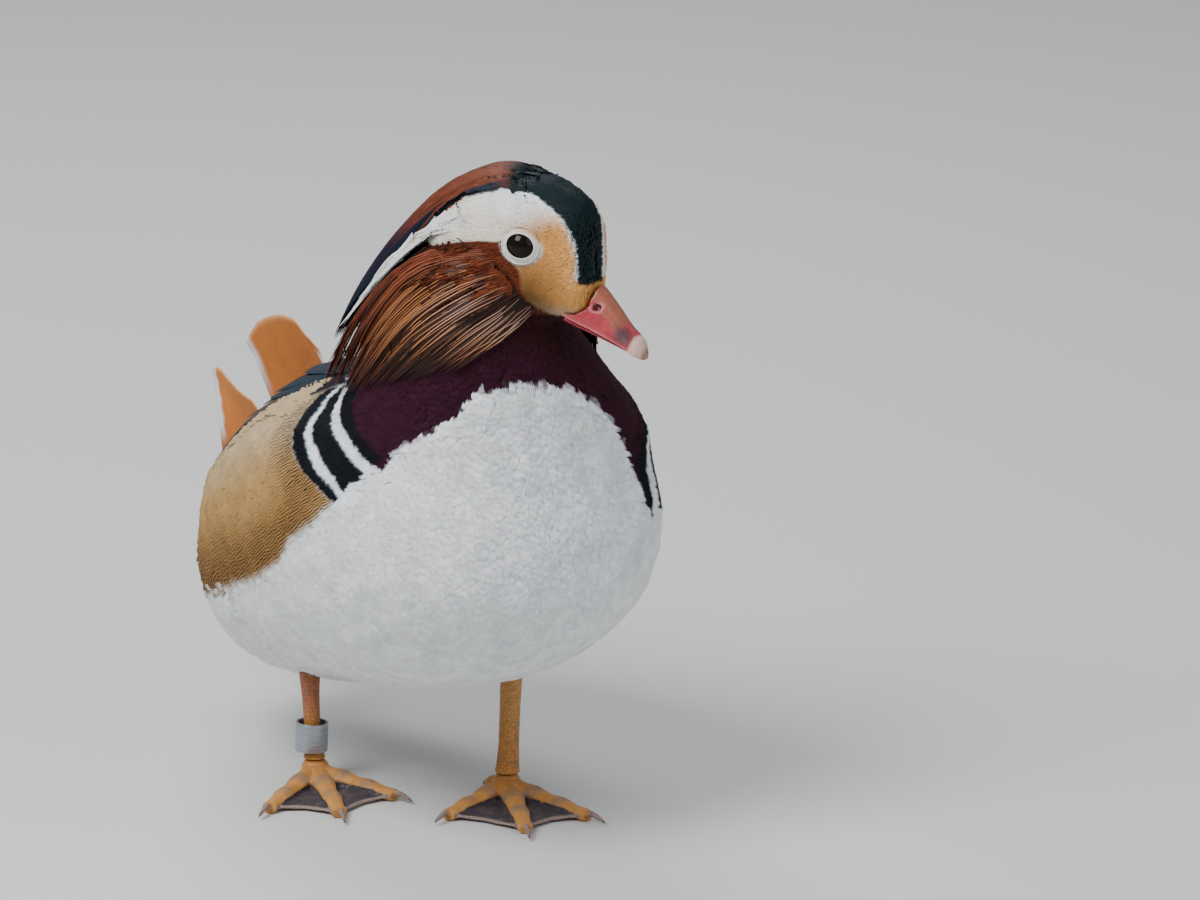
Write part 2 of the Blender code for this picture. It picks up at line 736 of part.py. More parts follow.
def make_ruff(name, side, rails, skin, clear_flesh, clear_crest, parts):
    """Cheek ruff of long narrow feathers that fan from the cheek to breast and shoulder."""
    place = HEAD @ Vector((RUFF_CORE_PLACE.x * side, RUFF_CORE_PLACE.y, RUFF_CORE_PLACE.z))
    ruff = ball(name, place, RUFF_CORE_SIZE, parts, 14, 8, HEAD.to_3x3().to_4x4())
    pieces = new_collection(name + " feathers")
    keys = []
    for k, (root, *rest) in enumerate(rails):
        points = [HEAD @ (Vector(root) * MM)] + [Vector(p) * MM for p in rest]
        keys.append((k / 2, *(value for point in points for value in point)))
    for start, reach, many, half_width, lift in RUFF_TIERS:
        for n, share in enumerate(spread_values(0, 1, many)):
            flat = curve_value(keys, share)
            points = [Vector(flat[k : k + 3]) for k in range(0, 12, 3)]
            line = []
            for i in range(5):
                along = start + (reach - start) * i / 4
                raised = lift + 0.6 * i / 4 + 0.8 * (n % 2)
                line.append(lifted(skin, bent_line(points, along), raised * MM))
            line[0] = (line[0][0] - line[0][1] * 3 * MM, line[0][1])
            feather(pieces, line, half_width, lock_width, 1.0, 0.3)
    join_pieces(ruff, pieces)
    for other in (clear_flesh, clear_crest):
        combine(ruff, other, "DIFFERENCE")
    keep_largest(ruff)
    return ruff


def trunk_point(forward, angle, lift, side):
    """A place on the trunk's skin, angle in degrees up from its widest level, held off by lift in mm."""
    half_width, top, bottom = curve_value(TRUNK_OUTLINE, forward)
    middle = (top + bottom) / 2
    a = math.radians(angle)
    x = (half_width + lift) * abs(math.cos(a)) ** (2 / 2.15)
    z = middle + ((top - bottom) / 2 + lift) * abs(math.sin(a)) ** (2 / 2.15)
    return BODY @ (Vector((x * side, -forward, z)) * MM)


def make_wing(name, side, skin, clear_flesh, parts, helpers):
    """Folded wing: a smooth shoulder plate that carries tiers of overlapping vanes."""
    rings = []
    across = 7
    for i in range(11):
        forward = WING_PLATE[0][0] + (WING_PLATE[-1][0] - WING_PLATE[0][0]) * i / 10
        low, high, thick = curve_value(WING_PLATE, forward)
        angles = [low + (high - low) * k / (across - 1) for k in range(across)]
        bulge = [max(math.sin(math.pi * (k + 0.4) / (across - 0.2)), 0) ** 0.6 for k in range(across)]
        ring = [trunk_point(forward, a, 0.4 + thick * b, side) for a, b in zip(angles, bulge)]
        ring += [trunk_point(forward, a, -1.5, side) for a in reversed(angles)]
        rings.append(ring)
    wing = loft(name, rings, parts)
    pieces = new_collection(name + " vanes")
    mirror = Matrix.Diagonal((side, 1, 1))
    for first, last, many, half_width, lifts in WING_TIERS.values():
        for share in spread_values(0, 1, many):
            points = [
                BODY @ (mirror @ Vector(a).lerp(Vector(b), share) * MM) for a, b in zip(first, last)
            ]
            low, high = lifts
            line = laid_line(skin, points, (low + share, high + share), 4)
            line[0] = (line[0][0] - line[0][1] * 2 * MM, line[0][1])
            feather(pieces, line, half_width, vane_width, 1.0, 0.8)
    clear = join_pieces(wing, pieces, helpers)
    combine(wing, clear_flesh, "DIFFERENCE")
    keep_largest(wing)
    return clear


def make_sail(name, corners, rise, clear_others, parts):
    """One sail feather: a thin upright vane, curved a little, standing in the wing's inner edge."""
    front_base, rear_base, rear_top, front_top = (Vector(c) * MM for c in corners)
    shape = bmesh.new()
    bmesh.ops.create_grid(shape, x_segments=SAIL_CELLS, y_segments=SAIL_CELLS, size=1)
    for vert in shape.verts:
        u, v = (vert.co.x + 1) / 2, (vert.co.y + 1) / 2
        base, top = front_base.lerp(rear_base, u), front_top.lerp(rear_top, u)
        place = base.lerp(top, v)
        place.z += rise * MM * math.sin(math.pi * u) * v
        near_top = max(0, v - 0.8) / 0.2
        near_corner = max(0, abs(2 * u - 1) - 0.6) / 0.4
        place.z -= SAIL_CORNER * near_top * near_corner
        place.x += SAIL_BULGE * math.sin(math.pi * v) * math.sin(math.pi * u)
        vert.co = place
    bmesh.ops.triangulate(shape, faces=shape.faces)
    mesh = bpy.data.meshes.new(name)
    shape.to_mesh(mesh)
    shape.free()
    sail = add_object(name, mesh, parts)
    wall = sail.modifiers.new("thickness", "SOLIDIFY")
    wall.thickness = SAIL_THICKNESS
    wall.offset = 0
    apply_modifiers(sail)
    for other in clear_others:
        combine(sail, other, "DIFFERENCE")
    keep_largest(sail)
    return sail


def make_tail(skin, clear_others, parts):
    """Tail: a core of coverts that carries a fan of overlapping vanes."""
    rings = []
    for back, half_width, top, bottom in TAIL_CORE:
        rings.append(
            [BODY @ (Vector((x, back, z)) * MM) for x, z in oval(half_width, top, bottom, 14)]
        )
    tail = loft("tail", rings, parts)
    pieces = new_collection("Tail vanes")
    for k, share in enumerate(spread_values(-1, 1, TAIL_FEATHERS)):
        middle = 1 - abs(share)
        places = []
        for point in (TAIL_ROOT, TAIL_BEND, TAIL_TIP):
            run = (point.y - TAIL_ROOT.y) / (TAIL_TIP.y - TAIL_ROOT.y)
            back = point.y + TAIL_LENGTHEN * middle * run
            up = point.z + TAIL_ARCH * middle
            swing = TAIL_SWING * run
            places.append(BODY @ (Vector((point.x * share + swing, back, up)) * MM))
        up = BODY.to_3x3() @ Vector((TAIL_CANT * share, 0, 1)).normalized()
        line = [(bent_line(places, i / 5), up) for i in range(6)]
        feather(pieces, line, TAIL_HALF_WIDTH, vane_width, 1.0, 0.5)
    join_pieces(tail, pieces)
    for other in clear_others:
        combine(tail, other, "DIFFERENCE")
    keep_largest(tail)
    return tail


def make_leg(name, rings, clear_flesh, parts):
    """A bare leg, round, thicker at the ankle under the belly and at the foot."""
    circles = []
    for x, y, z, radius in rings:
        circles.append(
            [
                Vector((x + radius * math.cos(a), y + radius * math.sin(a), z)) * MM
                for a in (2 * math.pi * k / 12 for k in range(12))
            ]
        )
    leg = loft(name, circles, parts)
    combine(leg, clear_flesh, "DIFFERENCE")
    keep_largest(leg)
    return leg


def toe_tube(name, start, angle, length, rings, collection, flat=TOE_FLAT, count=8):
    """A toe or claw lying along the floor from the joint, angle in radians left of straight ahead."""
    along = Vector((math.sin(angle), -math.cos(angle), 0))
    side = Vector((math.cos(angle), math.sin(angle), 0))
    circles = []
    for share, height, radius in rings:
        middle = start + along * share * length
        circles.append(
            [
                (
                    middle
                    + side * radius * flat * math.cos(a)
                    + Vector((0, 0, height + radius * math.sin(a)))
                )
                * MM
                for a in (2 * math.pi * (k + 0.5) / count for k in range(count))
            ]
        )
    return loft(name, circles, collection)


def web(start, first, second, collection):
    """The skin between two toes: a thin sheet with a hollow front edge."""
    shape = bmesh.new()
    bmesh.ops.create_grid(shape, x_segments=4, y_segments=3, size=1)
    for vert in shape.verts:
        u, v = (vert.co.x + 1) / 2, (vert.co.y + 1) / 2
        angle = math.radians(first[0] + (second[0] - first[0]) * u)
        reach = (first[1] + (second[1] - first[1]) * u) * WEB_REACH
        reach *= (1 - WEB_HOLLOW * math.sin(math.pi * u)) * (0.08 + 0.92 * v)
        place = start + Vector((math.sin(angle), -math.cos(angle), 0)) * reach
        vert.co = place * MM
        vert.co.z = WEB_HEIGHT * (1.35 - 0.35 * v - 0.25 * math.sin(math.pi * u))
    bmesh.ops.triangulate(shape, faces=shape.faces)
    mesh = bpy.data.meshes.new("web")
    shape.to_mesh(mesh)
    shape.free()
    sheet = add_object("web", mesh, collection)
    wall = sheet.modifiers.new("thickness", "SOLIDIFY")
    wall.thickness = WEB_THICKNESS
    wall.offset = 0
    apply_modifiers(sheet)
    return sheet


def make_foot(name, joint, toes, hallux_angle, parts):
    """Webbed foot: three front toes with claws, two webs and a small raised hind toe."""
    start = Vector((*joint, 0))
    size = Vector((JOINT_RADIUS, JOINT_RADIUS, JOINT_RADIUS)) * MM
    foot = ball(name, (start + Vector((0, 0, 4.6))) * MM, size, parts, 14, 10)
    pieces = new_collection(name + " pieces")
    for degrees, length in toes:
        angle = math.radians(degrees)
        toe_tube("toe", start, angle, length, TOE_RINGS, pieces)
        toe_tube("claw", start, angle, length, CLAW_RINGS, pieces, 0.9, 6)
    for first, second in zip(toes, toes[1:]):
        web(start, first, second, pieces)
    hind = ((0.1, 5.6, 2.6), (0.45, 4.6, 2.2), (0.8, 3.2, 2.3), (1.0, 2.6, 1.4), (1.2, 1.6, 0.5))
    toe_tube("hind toe", start, math.radians(hallux_angle), HALLUX_LENGTH, hind, pieces, 1.0, 6)
    join_pieces(foot, pieces)
    floor = halved(foot, "floor cut", Vector((0, 0, 0)), Vector((0, 0, -1)), parts)
    level = halved(floor, "top cut", Vector((0, 0, FOOT_TOP)), Vector((0, 0, 1)), parts)
    for cut in (foot, floor):
        bpy.data.objects.remove(cut)
    level.name = name
    keep_largest(level)
    return level


def make_ring(leg_rings, parts):
    """The metal ring round the right leg, a short tube that leans a little."""
    upper, lower = Vector(leg_rings[4][:3]) * MM, Vector(leg_rings[5][:3]) * MM
    along = (upper - lower).normalized()
    middle = lower + along * ((RING_MIDDLE - lower.z) / along.z)
    turn = along.to_track_quat("Z", "Y") @ Euler((0, RING_LEAN, 0)).to_quaternion()
    half = RING_HEIGHT / 2
    outside, inside = RING_INSIDE + RING_WALL, RING_INSIDE
    profile = [(outside, half), (outside, -half), (inside, -half), (inside, half)]
    mesh = bpy.data.meshes.new("leg_ring")
    shape = bmesh.new()
    verts = [shape.verts.new((r, 0, h)) for r, h in profile]
    for a, b in zip(verts, verts[1:] + verts[:1]):
        shape.edges.new((a, b))
    shape.to_mesh(mesh)
    shape.free()
    ring = add_object("leg_ring", mesh, parts)
    ring.location = middle + RING_OFFSET
    ring.rotation_euler = turn.to_euler()
    screw = ring.modifiers.new("turn", "SCREW")
    screw.steps = screw.render_steps = 24
    screw.use_merge_vertices = True
    screw.merge_threshold = 0.00001
    return ring


def centre_on_origin(parts):
    """Moves every node alike, so that the origin is under the middle of the whole bounding box."""
    bpy.context.view_layer.update()
    corners = [obj.matrix_world @ Vector(c) for obj in parts.objects for c in obj.bound_box]
    low = Vector([min(c[k] for c in corners) for k in range(3)])
    high = Vector([max(c[k] for c in corners) for k in range(3)])
    for obj in parts.objects:
        obj.location -= Vector(((low.x + high.x) / 2, (low.y + high.y) / 2, 0))


def dress(node_finishes):
    """Gives each node its material and smooth shading."""
    for name, material in node_finishes.items():
        mesh = bpy.data.objects[name].data
        mesh.materials.clear()
        mesh.materials.append(finish(material))
        mesh.shade_smooth()
        mesh.set_sharp_from_angle(angle=math.radians(40))


def main():
    clear_scene()
    parts = new_collection("Mandarin drake")
    helpers = new_collection("Helpers")
    whole = make_flesh(helpers)
    skin = surface_of(whole)
    clear_flesh = grown(whole, "clear flesh", GAP, helpers)
    make_flesh_nodes(whole, parts)
    head = bpy.data.objects["head"]
    make_bill(clear_flesh, parts, helpers)
    clear_crest = make_crest(skin, clear_flesh, parts, helpers)
    for side, name, rails in ((1, "ruff_left", RUFF_LEFT), (-1, "ruff_right", RUFF_RIGHT)):
        make_ruff(name, side, rails, skin, clear_flesh, clear_crest, parts)
    make_eyes(head, parts, helpers)
    clear_wings = []
    for side, name in ((1, "wing_left"), (-1, "wing_right")):
        clear_wings.append(make_wing(name, side, skin, clear_flesh, parts, helpers))
    for name, (*corners, rise) in SAILS.items():
        make_sail(name, corners, rise, [clear_flesh, *clear_wings], parts)
    make_tail(skin, [clear_flesh, *clear_wings], parts)
    for name, rings in LEGS.items():
        make_leg(name, rings, clear_flesh, parts)
    for name, (joint, toes, hallux_angle) in FEET.items():
        make_foot(name, joint, toes, hallux_angle, parts)
    make_ring(LEGS["leg_right"], parts)
    for helper in list(helpers.objects):
        bpy.data.objects.remove(helper)
    dress(NODE_FINISHES)
    centre_on_origin(parts)


main()
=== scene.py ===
import math

import bpy
import numpy as np
from mathutils import Matrix, Vector, noise
from mathutils.bvhtree import BVHTree
from mathutils.kdtree import KDTree


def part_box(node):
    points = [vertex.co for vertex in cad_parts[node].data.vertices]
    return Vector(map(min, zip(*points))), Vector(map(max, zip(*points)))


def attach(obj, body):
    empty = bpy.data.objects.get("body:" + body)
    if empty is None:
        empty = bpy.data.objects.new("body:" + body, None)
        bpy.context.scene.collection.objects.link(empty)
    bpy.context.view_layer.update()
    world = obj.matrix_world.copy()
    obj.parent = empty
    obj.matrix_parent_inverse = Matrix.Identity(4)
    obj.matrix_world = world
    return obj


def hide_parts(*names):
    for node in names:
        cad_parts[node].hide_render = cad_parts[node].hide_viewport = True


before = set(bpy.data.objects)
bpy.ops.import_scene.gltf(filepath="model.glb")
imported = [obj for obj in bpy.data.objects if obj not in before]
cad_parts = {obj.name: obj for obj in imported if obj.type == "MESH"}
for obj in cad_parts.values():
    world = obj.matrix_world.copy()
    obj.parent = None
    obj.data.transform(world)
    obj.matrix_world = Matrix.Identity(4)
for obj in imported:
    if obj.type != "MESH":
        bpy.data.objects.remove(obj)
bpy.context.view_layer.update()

# Where the drake stands. It faces -Y with its tail low and its head turned to its own left. The eyes
# of the frame give the head's place, and fixed distances lead from there to the feet and the trunk.
MM = 0.001


def middle_of(node):
    low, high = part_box(node)
    return (low + high) / 2


HEAD_TURN = Matrix.Rotation(math.radians(33), 3, "Z") @ Matrix.Rotation(math.radians(14), 3, "X")
EYES_FROM_HEAD = Vector((0, -7.8, 0.3)) * MM
HEAD_FROM_FEET = Vector((4, -73, 212)) * MM
head_middle = (middle_of("eye_left") + middle_of("eye_right")) / 2 - HEAD_TURN @ EYES_FROM_HEAD
STANCE = Matrix.Translation(head_middle - HEAD_FROM_FEET)
HEAD = Matrix.Translation(head_middle) @ HEAD_TURN.to_4x4()
BODY = (
    STANCE @ Matrix.Translation((0, 0, 95 * MM)) @ Matrix.Rotation(math.radians(-25), 4, "X")
)

# The camera stands three metres off, to the drake's right of straight ahead and a little above it.
VIEW_SIDE = math.radians(27)
VIEW_RISE = math.radians(15)
VIEW_DISTANCE = 3.0
VIEW_WIDTH = 1200 * 0.34 * MM  # what the frame is wide at the drake
across = Vector((math.cos(VIEW_SIDE), -math.sin(VIEW_SIDE), 0))
towards = Vector(
    (
        -math.sin(VIEW_SIDE) * math.cos(VIEW_RISE),
        -math.cos(VIEW_SIDE) * math.cos(VIEW_RISE),
        math.sin(VIEW_RISE),
    )
)
upwards = towards.cross(across)
aim = STANCE.translation + across * 61.2 * MM + upwards * 115.6 * MM
bpy.ops.object.select_all(action="DESELECT")
bpy.ops.object.camera_add()
camera = bpy.context.object
camera.name = "camera"
camera.data.sensor_width = 36
camera.data.lens = 36 * VIEW_DISTANCE / VIEW_WIDTH
camera.data.clip_end = 100
camera.matrix_world = Matrix.Translation(aim + towards * VIEW_DISTANCE) @ Matrix(
    (across, upwards, towards)
).transposed().to_4x4()
bpy.context.scene.camera = camera

# A plain studio: a wide pale floor, one big soft lamp from the upper left, a fill and a back lamp.
bpy.ops.mesh.primitive_plane_add(size=30)
floor = bpy.context.object
floor.name = "floor"
floor_finish = bpy.data.materials.new("pale_floor")
floor_finish.use_nodes = True
floor_finish.node_tree.nodes["Principled BSDF"].inputs["Base Color"].default_value = (0.62, 0.62, 0.61, 1)
floor_finish.node_tree.nodes["Principled BSDF"].inputs["Roughness"].default_value = 0.8
floor.data.materials.append(floor_finish)

LAMPS = (
    # name, degrees left of the camera, degrees up, distance, size, watts
    ("key_lamp", 42, 48, 1.5, 0.8, 27),
    ("fill_lamp", -55, 22, 1.6, 1.2, 6),
    ("back_lamp", 165, 50, 1.5, 0.8, 12),
)
for name, left, rise, distance, size, watts in LAMPS:
    bpy.ops.object.light_add(type="AREA")
    lamp = bpy.context.object
    lamp.name = name
    lamp.data.size = size
    lamp.data.energy = watts
    turn = VIEW_SIDE + math.radians(left)
    rise = math.radians(rise)
    way = Vector((-math.sin(turn) * math.cos(rise), -math.cos(turn) * math.cos(rise), math.sin(rise)))
    lamp.matrix_world = Matrix.Translation(
        STANCE.translation + Vector((0, 0, 0.12)) + way * distance
    ) @ way.to_track_quat("Z", "Y").to_matrix().to_4x4()
world = bpy.data.worlds.new("studio")
world.use_nodes = True
world.node_tree.nodes["Background"].inputs["Color"].default_value = (0.86, 0.9, 0.95, 1)
world.node_tree.nodes["Background"].inputs["Strength"].default_value = 0.38
bpy.context.scene.world = world

# The skin of trunk, neck and head, one closed surface under the plumage. It takes the place of the
# three solids of flesh and lies inside them by the depth of the short feathers.
COAT_DEPTH = 1.5 * MM
SKIN_GRID = 1.25 * MM


def select_only(*objects):
    bpy.ops.object.select_all(action="DESELECT")
    for obj in objects:
        obj.select_set(True)
    bpy.context.view_layer.objects.active = objects[0]


def copied(name, *nodes):
    """One new object of merged copies of solid nodes."""
    copies = []
    for node in nodes:
        copy = bpy.data.objects.new(name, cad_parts[node].data.copy())
        copy.data.materials.clear()
        bpy.context.scene.collection.objects.link(copy)
        copies.append(copy)
    select_only(*copies)
    if len(copies) > 1:
        bpy.ops.object.join()
    piece = bpy.context.object
    piece.name = name
    bpy.ops.object.mode_set(mode="EDIT")
    bpy.ops.mesh.select_all(action="SELECT")
    bpy.ops.mesh.remove_doubles(threshold=0.00002)
    bpy.ops.object.mode_set(mode="OBJECT")
    return piece


def fused(piece, swell, grid, rounds, depth):
    """Swells a piece until its bodies meet, remeshes it as one, smooths it and draws it in by depth."""
    select_only(piece)
    if swell:
        out = piece.modifiers.new("swell", "DISPLACE")
        out.strength = swell
        out.mid_level = 0
    cells = piece.modifiers.new("cells", "REMESH")
    cells.mode = "VOXEL"
    cells.voxel_size = grid
    soft = piece.modifiers.new("soft", "SMOOTH")
    soft.factor = 0.5
    soft.iterations = rounds
    if swell + depth:
        back = piece.modifiers.new("back", "DISPLACE")
        back.strength = -(swell + depth)
        back.mid_level = 0
    for modifier in list(piece.modifiers):
        bpy.ops.object.modifier_apply(modifier=modifier.name)
    piece.data.shade_smooth()
    return piece


def unwrapped(piece):
    """Lays the piece's own surface out flat in a map named OFBake."""
    select_only(piece)
    while piece.data.uv_layers:
        piece.data.uv_layers.remove(piece.data.uv_layers[0])
    piece.data.uv_layers.new(name="OFBake")
    bpy.ops.object.mode_set(mode="EDIT")
    bpy.ops.mesh.select_all(action="SELECT")
    bpy.ops.uv.smart_project(angle_limit=math.radians(66), island_margin=0.002)
    bpy.ops.object.mode_set(mode="OBJECT")


class Ground:
    """A surface that feathers grow on: its triangles, its search tree and its flat map."""

    def __init__(self, piece):
        mesh = piece.data
        mesh.calc_loop_triangles()
        count = len(mesh.loop_triangles)
        corners = np.empty(count * 3, np.int32)
        mesh.loop_triangles.foreach_get("vertices", corners)
        self.corners = corners.reshape(-1, 3)
        self.points = np.empty(len(mesh.vertices) * 3)
        mesh.vertices.foreach_get("co", self.points)
        self.points = self.points.reshape(-1, 3)
        self.normals = np.empty(len(mesh.vertices) * 3)
        mesh.vertices.foreach_get("normal", self.normals)
        self.normals = self.normals.reshape(-1, 3)
        loops = np.empty(count * 3, np.int32)
        mesh.loop_triangles.foreach_get("loops", loops)
        flat = np.empty(len(mesh.loops) * 2)
        mesh.uv_layers["OFBake"].data.foreach_get("uv", flat)
        self.map = flat.reshape(-1, 2)[loops.reshape(-1, 3)].mean(1)
        self.tree = BVHTree.FromPolygons(self.points.tolist(), self.corners.tolist())

    def nearest(self, points):
        """(nearest places, smooth normals, places on the flat map) for points in metres."""
        places = np.empty((len(points), 3))
        faces = np.empty(len(points), np.int64)
        for i, point in enumerate(points.tolist()):
            place, _, face, _ = self.tree.find_nearest(point)
            places[i] = place
            faces[i] = face
        normals = self.normals[self.corners[faces]].mean(1)
        normals /= np.linalg.norm(normals, axis=1)[:, None]
        return places, normals, self.map[faces]

    def spread(self, spacing, inside, seed):
        """Places spread evenly at random, about spacing apart, where inside(points, normals) holds."""
        random = np.random.default_rng(seed)
        a, b, c = (self.points[self.corners[:, k]] for k in range(3))
        areas = np.linalg.norm(np.cross(b - a, c - a), axis=1) / 2
        kept = inside((a + b + c) / 3, self.normals[self.corners].mean(1))
        areas = areas * kept
        many = int(areas.sum() / spacing**2 * 2.2)
        if not many:
            return np.empty((0, 3)), np.empty((0, 3)), np.empty((0, 2))
        picks = random.choice(len(areas), many, p=areas / areas.sum())
        u, v = random.random(many), random.random(many)
        over = u + v > 1
        u[over], v[over] = 1 - u[over], 1 - v[over]
        points = a[picks] + (b - a)[picks] * u[:, None] + (c - a)[picks] * v[:, None]
        tree = KDTree(many)
        for i, point in enumerate(points.tolist()):
            tree.insert(point, i)
        tree.balance()
        taken = np.zeros(many, bool)
        chosen = []
        for i, point in enumerate(points.tolist()):
            if taken[i]:
                continue
            chosen.append(i)
            for _, k, _ in tree.find_range(point, spacing * 0.8):
                taken[k] = True
        chosen = np.array(chosen)
        normals = self.normals[self.corners[picks[chosen]]].mean(1)
        normals /= np.linalg.norm(normals, axis=1)[:, None]
        return points[chosen], normals, self.map[picks[chosen]]


def in_frame(place, points):
    """Points in metres as millimetres in that frame."""
    back = np.array(place.inverted())
    return (points @ back[:3, :3].T + back[:3, 3]) / MM


def step(low, high, value):
    """A soft step from 0 at low to 1 at high."""
    t = np.clip((value - low) / (high - low), 0, 1)
    return t * t * (3 - 2 * t)


def edge_at(keys, value):
    keys = sorted(keys)
    return np.interp(value, [k[0] for k in keys], [k[1] for k in keys])


def points_of(piece):
    points = np.empty(len(piece.data.vertices) * 3)
    piece.data.vertices.foreach_get("co", points)
    return points.reshape(-1, 3)


# The folded wing swells the coat from inside, as (distance back in the trunk's frame, mm)
WING_SWELL = ((-62, 0), (-50, 1.2), (-36, 4.0), (-10, 4.4), (30, 3.2), (62, 1.4), (88, 0.4), (104, 0))
skin = fused(copied("skin", "torso", "neck", "head"), 0.45 * MM, SKIN_GRID, 7, COAT_DEPTH)
skin_points = points_of(skin)
skin_normals = np.empty(skin_points.size)
skin.data.vertices.foreach_get("normal", skin_normals)
body = in_frame(BODY, skin_points)
climb = np.degrees(np.arctan2(body[:, 2], np.abs(body[:, 0])))
swell = edge_at(WING_SWELL, body[:, 1]) * step(8, 34, climb) * step(88, 66, climb)
skin_points += skin_normals.reshape(-1, 3) * (swell * MM)[:, None]
skin.data.vertices.foreach_set("co", skin_points.astype(np.float32).ravel())
skin.data.update()
unwrapped(skin)
skin_ground = Ground(skin)

# The colours of the plumage and where each one lies. The same rule paints the skin and every feather
# on it, from lines measured on the bird in the frames of its trunk and head.
PLUMES = {
    "white": (0.76, 0.79, 0.82),
    "cream": (0.80, 0.72, 0.58),
    "amber": (0.62, 0.30, 0.088),
    "maroon": (0.030, 0.006, 0.015),
    "gold": (0.40, 0.235, 0.085),
    "bronze": (0.20, 0.095, 0.026),
    "stone": (0.44, 0.345, 0.215),
    "black": (0.004, 0.005, 0.007),
    "ink": (0.003, 0.009, 0.022),
    "green": (0.001, 0.010, 0.012),
    "violet": (0.012, 0.004, 0.020),
    # the teal is painted sheen on the black shoulder bars
    "bar_sheen_teal": (0.012, 0.050, 0.080),
    "rust": (0.150, 0.034, 0.0130),
    "umber": (0.050, 0.032, 0.020),
    "chin": (0.028, 0.007, 0.010),
}
# Edges of the black and white shoulder bars, rear to front, as (height, distance back) in the trunk's frame
SHOULDER_BARS = (
    ((1, -61), (8, -53), (15, -43), (23, -35), (30, -32.5), (36, -32), (40, -32.5), (43, -35)),
    ((1, -65.6), (8, -58.4), (14, -51.4), (21, -44), (28, -40), (34, -39.6), (42, -39.6)),
    ((1, -68.5), (6, -64), (13, -57.5), (19, -51), (25, -45), (31, -42.5), (37, -41.5), (42, -41)),
    ((4, -77.1), (8, -74.2), (12.4, -70.3), (18.6, -63), (25, -56), (31, -50.6), (36, -48.5), (42, -47)),
    ((4, -81), (9, -77.6), (13, -73.5), (19, -69), (25, -62.4), (31, -57), (36, -55), (42, -55)),
    ((4, -86), (11, -81), (14, -79), (19, -74.3), (24.4, -69.7), (30, -66.5), (42, -65)),
)
BARS_TOP = 43
LEFT_BARS_AHEAD = 6  # on the left the bars lie further forward
LEFT_BARS_FOOT = -18
# Lower edge of the maroon breast, as (degrees round from straight ahead, height above the floor)
BREAST_EDGE_RIGHT = ((0, 163), (15, 164), (24, 161), (33, 153), (40, 149), (47, 146), (53, 142), (60, 130), (75, 116))
BREAST_EDGE_LEFT = ((0, 163), (9, 162), (19, 159), (28, 153), (33, 147), (36, 138), (38, 126), (41, 112), (75, 100))
# Lower and upper edge of the golden flank, as (distance back, height) in the trunk's frame
FLANK_EDGE = ((-66, 2), (-61, 0.6), (-48, -4), (-32, -5.5), (-22, -11), (0, -12.5), (25, -10.5), (50, -9), (90, -4))
FLANK_TOP = ((-50, 43), (-34, 46), (-10, 50), (7, 52), (30, 46), (50, 39), (75, 33), (100, 28))
# Edge of the dark crown, as (distance back, half width) in the head's frame
CROWN_EDGE = (
    (-32, 8.2), (-28, 8.6), (-25.7, 9.4), (-21.6, 10.4), (-15, 10.9), (-7, 10.9), (0, 10.8), (7, 10.4), (14, 12), (30, 15),
)
FAR_CROWN_IN = 5.2  # the left brow is wider
# Front edge of the cheek's rust, as (height, distance back) in the head's frame
CHEEK_FRONT = ((-30, -22), (-22.2, -21.5), (-21, -18), (-19, -13), (-14, -11.2), (-8, -9.7), (-5, -5.9), (0, -2.5), (3, 4))
# Upper edge of the cheek's rust, as (distance back, height) in the head's frame
CHEEK_TOP = ((-3, 0), (0.6, -1.2), (5.5, -2.6), (14, -6.5), (24, -12), (34, -20))


def painted(colours, name, share):
    """Lays a named plume colour over the colours by a share from 0 to 1."""
    share = np.asarray(share, float)[:, None]
    return colours * (1 - share) + np.array(PLUMES[name]) * share


def laid(colours, rgb, share):
    """Lays a colour, or one colour a point, over the colours by a share from 0 to 1."""
    share = np.clip(np.asarray(share, float), 0, 1)[:, None]
    return colours * (1 - share) + np.asarray(rgb, float) * share


def cloud(points, size, seed=0.0):
    """Smooth noise from about -1 to 1 with patches of that size in metres."""
    shift = Vector((seed, seed * 1.7, -seed))
    return np.array([noise.noise(Vector(p) / size + shift) for p in points.tolist()])


